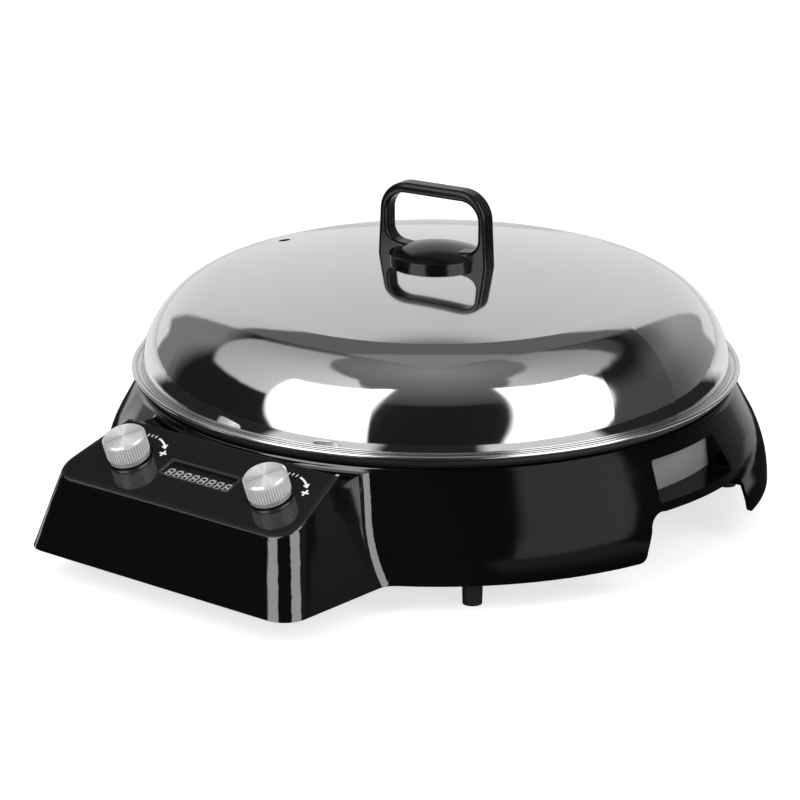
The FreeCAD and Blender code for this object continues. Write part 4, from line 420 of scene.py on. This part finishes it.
def arc_points(centre, radius, start, end, steps):
    return [(centre[0] + radius * math.cos(math.radians(start + (end - start) * step / steps)),
             centre[1] + radius * math.sin(math.radians(start + (end - start) * step / steps)))
            for step in range(steps + 1)]


def arc_band(centre, inner, outer, start, end, steps=16):
    """Outline of a curved band, counter-clockwise when start is less than end."""
    return arc_points(centre, outer, start, end, steps) + arc_points(centre, inner, end, start, steps)


class InjeraFinish(bpy.types.PropertyGroup):
    """Colours of the finishes, started from the frame's own record."""
    housing_tone: bpy.props.FloatVectorProperty(
        name="Housing", description="Colour of the glossy housing", subtype="COLOR", size=3, min=0, max=1,
        default=(0.0022, 0.0022, 0.0024))
    panel_tone: bpy.props.FloatVectorProperty(
        name="Panel", description="Colour of the control panel", subtype="COLOR", size=3, min=0, max=1,
        default=(0.0065, 0.0065, 0.007))
    handle_tone: bpy.props.FloatVectorProperty(
        name="Handle", description="Colour of the lid's handle", subtype="COLOR", size=3, min=0, max=1,
        default=(0.004, 0.004, 0.0045))
    lid_tone: bpy.props.FloatVectorProperty(
        name="Lid", description="Colour of the polished lid", subtype="COLOR", size=3, min=0, max=1,
        default=(0.8, 0.8, 0.8))
    knob_tone: bpy.props.FloatVectorProperty(
        name="Knobs", description="Colour of the turned knobs", subtype="COLOR", size=3, min=0, max=1,
        default=(0.86, 0.86, 0.86))
    ink_tone: bpy.props.FloatVectorProperty(
        name="Print", description="Colour of the printed marks", subtype="COLOR", size=3, min=0, max=1,
        default=(0.9, 0.9, 0.9))
    segment_tone: bpy.props.FloatVectorProperty(
        name="Segments", description="Colour of the display's segments", subtype="COLOR", size=3, min=0,
        max=1, default=(0.8, 0.8, 0.8))


class InjeraConsole(bpy.types.PropertyGroup):
    """Sizes of the printed marks and the display."""
    mark_radius: bpy.props.FloatProperty(
        name="Arrow radius", description="Knob's middle to its arrow", default=0.0255, unit="LENGTH")
    stroke: bpy.props.FloatProperty(
        name="Stroke", description="Width of an arrow's line", default=0.0015, unit="LENGTH")
    head: bpy.props.FloatProperty(
        name="Arrow head", description="Width of an arrow's head", default=0.005, unit="LENGTH")
    plus: bpy.props.FloatProperty(
        name="Plus", description="Size of the plus sign", default=0.0062, unit="LENGTH")
    digit_count: bpy.props.IntProperty(name="Digits", description="Digits in the display", default=8, min=1)
    digit_high: bpy.props.FloatProperty(
        name="Digit height", description="Height of a digit", default=0.0079, unit="LENGTH")
    digit_lean: bpy.props.FloatProperty(
        name="Digit lean", description="How far a digit leans over its height", default=0.0011,
        unit="LENGTH")
    segment: bpy.props.FloatProperty(
        name="Segment", description="Width of a segment", default=0.001, unit="LENGTH")


class InjeraStudio(bpy.types.PropertyGroup):
    """Camera and light."""
    camera_turn: bpy.props.FloatProperty(
        name="Camera turn", description="Camera's turn from the front", default=math.radians(38.91),
        subtype="ANGLE")
    camera_rise: bpy.props.FloatProperty(
        name="Camera rise", description="Camera's height above level", default=math.radians(18.27),
        subtype="ANGLE")
    camera_far: bpy.props.FloatProperty(
        name="Camera distance", description="Camera to the point that it looks at", default=2.7,
        unit="LENGTH")
    lens: bpy.props.FloatProperty(name="Lens", description="Focal length in mm", default=163.71)
    box_glow: bpy.props.FloatProperty(
        name="Soft boxes", description="Brightness of the two soft boxes", default=2.5, min=0)
    key_power: bpy.props.FloatProperty(
        name="Key", description="Power of the light on the front left", default=28.0, min=0, unit="POWER")
    side_power: bpy.props.FloatProperty(
        name="Side", description="Power of the light on the right", default=12.0, min=0, unit="POWER")
    fill_power: bpy.props.FloatProperty(
        name="Fill", description="Power of the overhead fill", default=32.0, min=0, unit="POWER")


class INJERA_OT_housing(bpy.types.Operator):
    """Finish the housing, its cover and its feet"""
    bl_idname = "injera.housing"
    bl_label = "Housing"

    def execute(self, context):
        tones = context.scene.injera_finish
        moulding = housing_moulding("polished_housing", tones.housing_tone, 0.07)
        dress(moulding, "base_shell")
        outline = [*arc_points((0.21722, 0.09472), 0.00335, 80.0, 5.0, 8), (0.22201, 0.09241)]
        new_piece("shoulder_skin", lathe(outline), moulding)
        dress(satin_moulding("cover_moulding", (0.014, 0.014, 0.015), 0.5), "bottom_cover")
        dress(satin_moulding("foot_moulding", (0.018, 0.018, 0.019), 0.42), "foot_front_left",
              "foot_front_right", "foot_rear_left", "foot_rear_right")
        dress(satin_moulding("seat_rubber", (0.004, 0.004, 0.004), 0.7, grain=500.0), "seat_ring")
        dress(sheet_metal("screw_steel", (0.55, 0.55, 0.56), 0.3), "foot_screws", "clamp_screws",
              "pan_screws", "board_screws", "power_board_screws", "inlet_screws", "handle_screw",
              "handle_washer", "bracket_rivets", "sensor_nut")
        return {"FINISHED"}


class INJERA_OT_panel(bpy.types.Operator):
    """Finish the control panel and print its arrows, plus signs and ticks"""
    bl_idname = "injera.panel"
    bl_label = "Control panel"

    def execute(self, context):
        tones = context.scene.injera_finish
        sizes = context.scene.injera_console
        dress(gloss_moulding("panel_moulding", tones.panel_tone, 0.05), "control_panel")
        ink = printed_ink("white_print", tones.ink_tone)
        for side, name in ((-1, "time"), (1, "temperature")):
            mesh = bmesh.new()
            self.print_marks(mesh, (side * KNOB_X, KNOB_V), sizes)
            new_piece(f"{name}_marks", mesh, ink)
        return {"FINISHED"}

    def print_marks(self, mesh, centre, sizes):
        radius, half = sizes.mark_radius, sizes.stroke / 2
        thick = 0.00005
        tail, neck, tip = 74.0, 49.0, 39.0
        add_plate(mesh, arc_band(centre, radius - half, radius + half, neck, tail), 0.0, thick)
        wide = sizes.head / 2
        add_plate(mesh, [*arc_points(centre, radius - wide, neck, neck, 1)[:1],
                         *arc_points(centre, radius, tip, tip, 1)[:1],
                         *arc_points(centre, radius + wide, neck, neck, 1)[:1]], 0.0, thick)
        x, v = arc_points(centre, radius - 0.001, 28.0, 28.0, 1)[0]
        arm = sizes.plus / 2
        add_plate(mesh, [(x - arm, v - half), (x - half, v - half), (x - half, v - arm), (x + half, v - arm),
                         (x + half, v - half), (x + arm, v - half), (x + arm, v + half), (x + half, v + half),
                         (x + half, v + arm), (x - half, v + arm), (x - half, v + half),
                         (x - arm, v + half)], 0.0, thick)
        for turn in (82.0, 90.0, 98.0, 106.0, 114.0):
            middle_band = arc_band(centre, radius - 0.0014, radius + 0.0014, turn - 0.9, turn + 0.9, 2)
            add_plate(mesh, middle_band, 0.0, thick)


class INJERA_OT_display(bpy.types.Operator):
    """Finish the display and draw its digits"""
    bl_idname = "injera.display"
    bl_label = "Display"

    def execute(self, context):
        tones = context.scene.injera_finish
        sizes = context.scene.injera_console
        dress(dark_glass("display_window", (0.02, 0.02, 0.022)), "display_lens")
        dress(satin_moulding("module_case", (0.006, 0.006, 0.0065), 0.3), "display_module")
        mesh = bmesh.new()
        low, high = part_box("display_lens")
        wide = high[0] - low[0] - 0.0012
        pitch = wide / sizes.digit_count
        for number in range(sizes.digit_count):
            self.draw_digit(mesh, -wide / 2 + pitch * number + 0.0006, 0.0316, pitch - 0.0021, sizes)
        new_piece("display_digits", mesh, printed_ink("segment_ink", tones.segment_tone))
        half = (high[0] - low[0]) / 2
        near = (low[1] - EDGE.y) / math.cos(SLOPE)
        rear = (high[1] - EDGE.y) / math.cos(SLOPE)
        # Painted highlight: two thin grey frames of lines round the window stand in for the light caught on the
        # window's edges.
        mesh = bmesh.new()
        for out, line in ((0.0005, 0.0003), (0.0019, 0.00025)):
            left, right, base, top = -half - out, half + out, near - out, rear + out
            for x0, x1, v0, v1 in ((left, right, base - line, base), (left, right, top, top + line),
                                   (left - line, left, base - line, top + line),
                                   (right, right + line, base - line, top + line)):
                add_plate(mesh, [(x0, v0), (x1, v0), (x1, v1), (x0, v1)], 0.0, 0.00003)
        new_piece("display_edge_highlight", mesh, printed_ink("painted_edge_highlight", (0.09, 0.09, 0.09)))
        return {"FINISHED"}

    def draw_digit(self, mesh, left, low, wide, sizes):
        high, bar, lean = sizes.digit_high, sizes.segment, sizes.digit_lean
        gap = bar * 0.18
        half = high / 2

        def lay(points):
            outline = [(left + x + lean * y / high, low + y) for x, y in points]
            add_plate(mesh, outline, -0.00219, 0.00002)

        for base in (0.0, half - bar / 2, high - bar):
            lay([(gap + bar / 2, base + bar / 2), (gap + bar, base), (wide - gap - bar, base),
                 (wide - gap - bar / 2, base + bar / 2), (wide - gap - bar, base + bar), (gap + bar, base + bar)])
        for base in (0.0, half - bar / 2):
            length = half - bar / 2
            for edge in (0.0, wide - bar):
                lay([(edge + bar / 2, base + gap + bar / 2), (edge + bar, base + gap + bar),
                     (edge + bar, base + length - gap), (edge + bar / 2, base + length - gap + bar / 2),
                     (edge, base + length - gap), (edge, base + gap + bar)])


class INJERA_OT_knobs(bpy.types.Operator):
    """Finish the knobs and what turns with them"""
    bl_idname = "injera.knobs"
    bl_label = "Knobs"

    def execute(self, context):
        tones = context.scene.injera_finish
        for side, name in ((-1, "time"), (1, "temperature")):
            centre = tuple(on_panel(side * KNOB_X, KNOB_V))
            dress(spun_metal(f"{name}_knob_metal", tones.knob_tone, centre, 0.24), f"{name}_knob")
            dress(sheet_metal(f"{name}_shaft_steel", (0.6, 0.6, 0.6), 0.25), f"{name}_shaft")
            dress(satin_moulding(f"{name}_insert_moulding", (0.02, 0.02, 0.02), 0.5), f"{name}_insert")
        return {"FINISHED"}


class INJERA_OT_cooking(bpy.types.Operator):
    """Finish the cooking plate, the elements and the heat pan"""
    bl_idname = "injera.cooking"
    bl_label = "Cooking plate and heater"

    def execute(self, context):
        coating = coated_plate("plate_coating", (0.02, 0.02, 0.021))
        dress(coating, "cooking_plate")
        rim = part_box("cooking_plate")[1]
        radius, top, skin = rim[0], rim[2], 0.00004
        outline = [*arc_points((radius - 0.001, top - 0.0031), 0.001 + skin, -90.0, 0.0, 6),
                   *arc_points((radius - 0.001, top - 0.001), 0.001 + skin, 0.0, 65.0, 6)]
        new_piece("plate_edge_skin", lathe(outline), coating)
        dress(heated_sheath("element_sheath", (0.3, 0.28, 0.26)), "heating_element_outer",
              "heating_element_inner")
        dress(sheet_metal("pan_metal", (0.62, 0.62, 0.6), 0.3), "heat_pan", "element_clamps",
              "temperature_sensor", "thermal_fuse")
        dress(fibre_blanket("fibre_blanket", (0.8, 0.79, 0.74)), "insulation_pad")
        return {"FINISHED"}


class INJERA_OT_lid(bpy.types.Operator):
    """Finish the lid, its handle and its hinge"""
    bl_idname = "injera.lid"
    bl_label = "Lid"

    def execute(self, context):
        tones = context.scene.injera_finish
        dress(mirror_steel("polished_lid", tones.lid_tone, 0.05), "lid_dome")
        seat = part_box("lid_dome")[0][2]
        edge, bead, skin = LID_RADIUS, 0.0017, 0.00004
        floor = seat + 0.001 + skin
        inward = 0.00018
        outline = [*arc_points((edge - bead, seat + bead), bead + skin, -90.0, 90.0, 16),
                   *arc_points((edge - bead - inward, seat + bead), bead + skin, 90.0, 204.0, 11),
                   *arc_points((edge - 0.00638, floor + 0.0007), 0.0007, 270.0, 180.0, 6)]
        rolled = mirror_steel("rolled_edge_steel", tones.lid_tone, 0.17)
        new_piece("rolled_edge_skin", lathe(outline), rolled, body="lid")
        dress(gloss_moulding("handle_moulding", tones.handle_tone, 0.14), "lid_handle")
        dress(sheet_metal("hinge_metal", (0.6, 0.6, 0.61), 0.24), "lid_hinge_bracket", "hinge_pin",
              "hinge_pin_clip")
        return {"FINISHED"}


class INJERA_OT_electronics(bpy.types.Operator):
    """Finish the boards, the mains inlet and the leads"""
    bl_idname = "injera.electronics"
    bl_label = "Boards and leads"

    def execute(self, context):
        dress(circuit_board("solder_mask", (0.015, 0.09, 0.035)), "control_board", "power_board")
        dress(satin_moulding("component_cases", (0.02, 0.02, 0.022), 0.45), "control_chip",
              "power_switch_device", "transformer", "time_encoder", "temperature_encoder")
        dress(satin_moulding("relay_case", (0.02, 0.06, 0.2), 0.35), "relay")
        dress(satin_moulding("terminal_case", (0.05, 0.16, 0.06), 0.4), "terminal_block")
        dress(sheet_metal("sink_metal", (0.12, 0.12, 0.12), 0.35), "heat_sink")
        dress(sheet_metal("contact_brass", (0.78, 0.6, 0.3), 0.25), "display_pins", "board_standoffs",
              "inlet_pins")
        dress(satin_moulding("inlet_moulding", (0.012, 0.012, 0.013), 0.4), "mains_inlet")
        dress(satin_moulding("lead_cover", (0.25, 0.02, 0.02), 0.5, grain=400.0), "supply_leads")
        dress(satin_moulding("heat_lead_cover", (0.6, 0.58, 0.5), 0.8, grain=500.0), "element_leads",
              "element_jumpers")
        return {"FINISHED"}


class INJERA_OT_studio(bpy.types.Operator):
    """Set up the floor, the tent, the lights and the camera"""
    bl_idname = "injera.studio"
    bl_label = "Studio"

    def execute(self, context):
        studio = context.scene.injera_studio
        self.lay_floor()
        self.lay_black_card()
        self.raise_tent(studio.box_glow)
        self.hang_lights(studio)
        self.set_world(context)
        self.set_camera(context, studio)
        return {"FINISHED"}

    def seen(self, paint):
        """1 for what the camera sees, and 1 for what a mirror or glass sees."""
        path = paint.add("ShaderNodeLightPath")
        camera, mirror, glass = [Value(paint, path.outputs[name]) for name in
                                 ("Is Camera Ray", "Is Glossy Ray", "Is Transmission Ray")]
        return camera, mirror.most(glass)

    def lay_floor(self):
        paint = Paint("pale_floor")
        cloth = paint.noise(3.0, 2.0)
        card = paint.add("ShaderNodeBsdfDiffuse", Color=paint.blend(cloth, (0.6, 0.6, 0.6, 1), (0.62, 0.62, 0.62, 1)))
        camera, mirrored = self.seen(paint)
        glow = paint.add("ShaderNodeEmission", Color=(1, 1, 1, 1), Strength=camera * 0.72 + mirrored * 0.25)
        both = paint.add("ShaderNodeAddShader")
        paint.feed(both.inputs[0], card.outputs[0])
        paint.feed(both.inputs[1], glow.outputs[0])
        paint.feed(paint.output.inputs["Surface"], both.outputs[0])
        mesh = bmesh.new()
        bmesh.ops.create_circle(mesh, cap_ends=True, radius=14.0, segments=96)
        self.stage_piece("studio_floor", mesh, paint.material)

    def bearing(self, paint, x, y):
        """Degrees to the right of the photographer's side, seen from the object."""
        lean = math.radians(38.9)
        side = x * math.cos(lean) + y * math.sin(lean)
        front = x * math.sin(lean) - y * math.cos(lean)
        return side.turn_with(front)

    def lay_black_card(self):
        """Black card on the floor in front, which only shiny surfaces show, with the two bright gaps under
        the soft boxes."""
        paint = Paint("black_card")
        x, y, _ = paint.parts(paint.place())
        turn = self.bearing(paint, x, y)
        far = (x * x + y * y).root()
        gap_left = (turn + 60.0).ramp(-3.0, 3.0) * (1.0 - (turn + 20.0).ramp(-3.0, 3.0))
        gap_right = (turn - 17.0).ramp(-3.0, 3.0) * (1.0 - (turn - 60.0).ramp(-3.0, 3.0))
        glow = paint.add("ShaderNodeEmission", Color=(1, 1, 1, 1),
                         Strength=0.02 + gap_left.most(gap_right) * far.ramp(0.3, 0.5) * 0.7)
        clear = paint.add("ShaderNodeBsdfTransparent")
        front = 1.0 - turn.size().ramp(62.0, 70.0)
        wide = (1.0 - turn.size().ramp(118.0, 130.0)) * far.ramp(0.6, 0.75)
        close = 1.0 - (far - turn.size().ramp(100.0, 115.0) * 0.17).ramp(0.35, 0.41)
        mix = paint.add("ShaderNodeMixShader")
        paint.feed(mix.inputs[0], front.most(wide).most(close))
        paint.feed(mix.inputs[1], clear.outputs[0])
        paint.feed(mix.inputs[2], glow.outputs[0])
        paint.feed(paint.output.inputs["Surface"], mix.outputs[0])
        mesh = bmesh.new()
        bmesh.ops.create_circle(mesh, cap_ends=True, radius=8.8, segments=96)
        bmesh.ops.translate(mesh, verts=mesh.verts[:], vec=(0, 0, 0.0004))
        card = self.stage_piece("black_card", mesh, paint.material)
        card.visible_camera = False
        card.visible_diffuse = False
        card.visible_shadow = False

    def raise_tent(self, box_glow):
        """A tent round the set that the camera looks through: pale behind, dark in front, grey on top, with
        two soft boxes in front and paler panels above them."""
        paint = Paint("studio_tent")
        direction = paint.add("ShaderNodeVectorMath", {"operation": "NORMALIZE"})
        paint.feed(direction.inputs[0], paint.place())
        x, y, z = paint.parts(direction.outputs[0])
        turn = self.bearing(paint, x, y)
        rise = z._math("ARCSINE", z) * (180.0 / math.pi)

        def patch(left, right, low, high, side_soft=3.0, soft=1.5):
            across = (turn - left).ramp(-side_soft, side_soft) * (1.0 - (turn - right).ramp(-side_soft, side_soft))
            return across * (rise - low).ramp(-soft, soft) * (1.0 - (rise - high).ramp(-soft, soft))

        rear = turn.size().ramp(146.0, 152.0)
        low_rear = turn.size().ramp(138.0, 144.0) * (1.0 - rise.ramp(8.0, 13.0))
        back = rear.most(low_rear) * (1.0 - rise.ramp(38.0, 40.5)) * (0.82 - rise * 0.006)
        over_back = rear * (rise.ramp(37.5, 40.5) * 0.13 + rise.ramp(62.0, 65.0) * 0.11)
        over_front = (1.0 - rear) * rise.ramp(44.5, 47.0) * (rise * 0.0048 - 0.17)
        left_low = (turn + 112.0).least(0.0) * -0.5 + 30.0
        left_panel = patch(-144.0, 107.5 - rise.most(61.0) * 2.5, left_low, 67.5) * (turn * 0.0042 + 0.96)
        right_low = (turn - 118.0).most(0.0) * 0.35 + 48.0
        right_panel = patch(rise.most(62.0) * 2.0 - 80.0, 152.0, right_low, 71.0, 4.0, 2.0) * (0.74 - turn * 0.0032)
        left_wall = (1.0 - turn.ramp(-132.0, -114.0)) * (1.0 - rise.ramp(36.0, 46.0)) * 0.21
        right_wall = turn.ramp(58.0, 64.0) * (1.0 - rise.ramp(24.0, 46.0)) * (turn.ramp(96.0, 152.0) * 0.3 + 0.07)
        box_left = patch(rise * -0.35 - 62.5, -27.0, -6.0, turn * 0.25 + 70.5, 2.5, 0.8)
        box_right = patch(rise * 0.2 + 25.0, rise * 0.42 + 65.0, -6.0, 71.0 - turn * 0.22, 2.5, 0.8)
        glow = back.most(over_back).most(over_front).most(left_panel).most(right_panel).most(left_wall)
        glow = glow.most(right_wall).most(box_left.most(box_right) * box_glow).most(0.013)
        light = paint.add("ShaderNodeEmission", Color=(1, 1, 1, 1), Strength=glow)
        paint.feed(paint.output.inputs["Surface"], light.outputs[0])
        mesh = bmesh.new()
        bmesh.ops.create_icosphere(mesh, subdivisions=4, radius=9.0)
        tent = self.stage_piece("studio_tent", mesh, paint.material)
        tent.visible_camera = False
        tent.visible_shadow = False

    def stage_piece(self, name, mesh, material):
        data = bpy.data.meshes.new(name)
        mesh.to_mesh(data)
        mesh.free()
        data.materials.append(material)
        piece = bpy.data.objects.new(name, data)
        bpy.context.scene.collection.objects.link(piece)
        return piece

    def lamp(self, name, turn, rise, far, wide, high, power):
        """A soft box seen from the object at a turn from the front and a height, both in degrees."""
        data = bpy.data.lights.new(name, "AREA")
        data.shape = "RECTANGLE"
        data.size, data.size_y = wide, high
        data.energy = power
        lamp = bpy.data.objects.new(name, data)
        turn, rise = math.radians(turn), math.radians(rise)
        away = Vector((math.sin(turn) * math.cos(rise), -math.cos(turn) * math.cos(rise), math.sin(rise)))
        lamp.location = away * far + Vector((0, DRUM_Y, 0.1))
        lamp.rotation_euler = away.to_track_quat("Z", "Y").to_euler()
        lamp.visible_camera = False
        bpy.context.scene.collection.objects.link(lamp)
        return lamp

    def hang_lights(self, studio):
        """Plain light on the object. The tent shows where it comes from, so no shiny surface shows these."""
        for name, turn, rise, wide, power in (("key_light", -15.0, 42.0, 2.2, studio.key_power),
                                              ("side_light", 98.0, 38.0, 1.8, studio.side_power),
                                              ("overhead_fill", 38.9, 80.0, 3.0, studio.fill_power)):
            lamp = self.lamp(name, turn, rise, 3.3, wide, wide, power)
            lamp.visible_glossy = False

    def set_world(self, context):
        world = bpy.data.worlds.new("white_room")
        world.use_nodes = True
        world.node_tree.nodes["Background"].inputs[0].default_value = (1, 1, 1, 1)
        world.node_tree.nodes["Background"].inputs[1].default_value = 1.0
        context.scene.world = world
        context.scene.view_settings.view_transform = "Standard"

    def set_camera(self, context, studio):
        turn, rise = studio.camera_turn, studio.camera_rise
        away = Vector((math.sin(turn) * math.cos(rise), -math.cos(turn) * math.cos(rise), math.sin(rise)))
        target = Vector((-0.01565, DRUM_Y - 0.02289, 0.07781))
        data = bpy.data.cameras.new("camera")
        data.lens = studio.lens
        data.sensor_width = 36.0
        data.sensor_fit = "AUTO"
        data.clip_end = 60.0
        camera = bpy.data.objects.new("camera", data)
        camera.location = target + away * studio.camera_far
        camera.rotation_euler = away.to_track_quat("Z", "Y").to_euler()
        context.scene.collection.objects.link(camera)
        context.scene.camera = camera


class INJERA_PT_panel(bpy.types.Panel):
    """Lists the steps and their settings"""
    bl_idname = "INJERA_PT_panel"
    bl_label = "Injera Maker"
    bl_space_type = "VIEW_3D"
    bl_region_type = "UI"
    bl_category = "Injera Maker"

    def draw(self, context):
        layout = self.layout
        for group in (context.scene.injera_finish, context.scene.injera_console,
                      context.scene.injera_studio):
            box = layout.box()
            for name in group.__annotations__:
                box.prop(group, name)
        for step in STEPS:
            layout.operator(step.bl_idname)


GROUPS = (InjeraFinish, InjeraConsole, InjeraStudio)
STEPS = (INJERA_OT_housing, INJERA_OT_panel, INJERA_OT_display, INJERA_OT_knobs, INJERA_OT_cooking,
         INJERA_OT_lid, INJERA_OT_electronics, INJERA_OT_studio)


def register():
    for item in (*GROUPS, *STEPS, INJERA_PT_panel):
        bpy.utils.register_class(item)
    bpy.types.Scene.injera_finish = bpy.props.PointerProperty(type=InjeraFinish)
    bpy.types.Scene.injera_console = bpy.props.PointerProperty(type=InjeraConsole)
    bpy.types.Scene.injera_studio = bpy.props.PointerProperty(type=InjeraStudio)


def unregister():
    del bpy.types.Scene.injera_studio
    del bpy.types.Scene.injera_console
    del bpy.types.Scene.injera_finish
    for item in (INJERA_PT_panel, *reversed(STEPS), *reversed(GROUPS)):
        bpy.utils.unregister_class(item)


def main():
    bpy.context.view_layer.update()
    register()
    bpy.ops.injera.housing()
    bpy.ops.injera.panel()
    bpy.ops.injera.display()
    bpy.ops.injera.knobs()
    bpy.ops.injera.cooking()
    bpy.ops.injera.lid()
    bpy.ops.injera.electronics()
    bpy.ops.injera.studio()


if __name__ == "__main__":
    main()
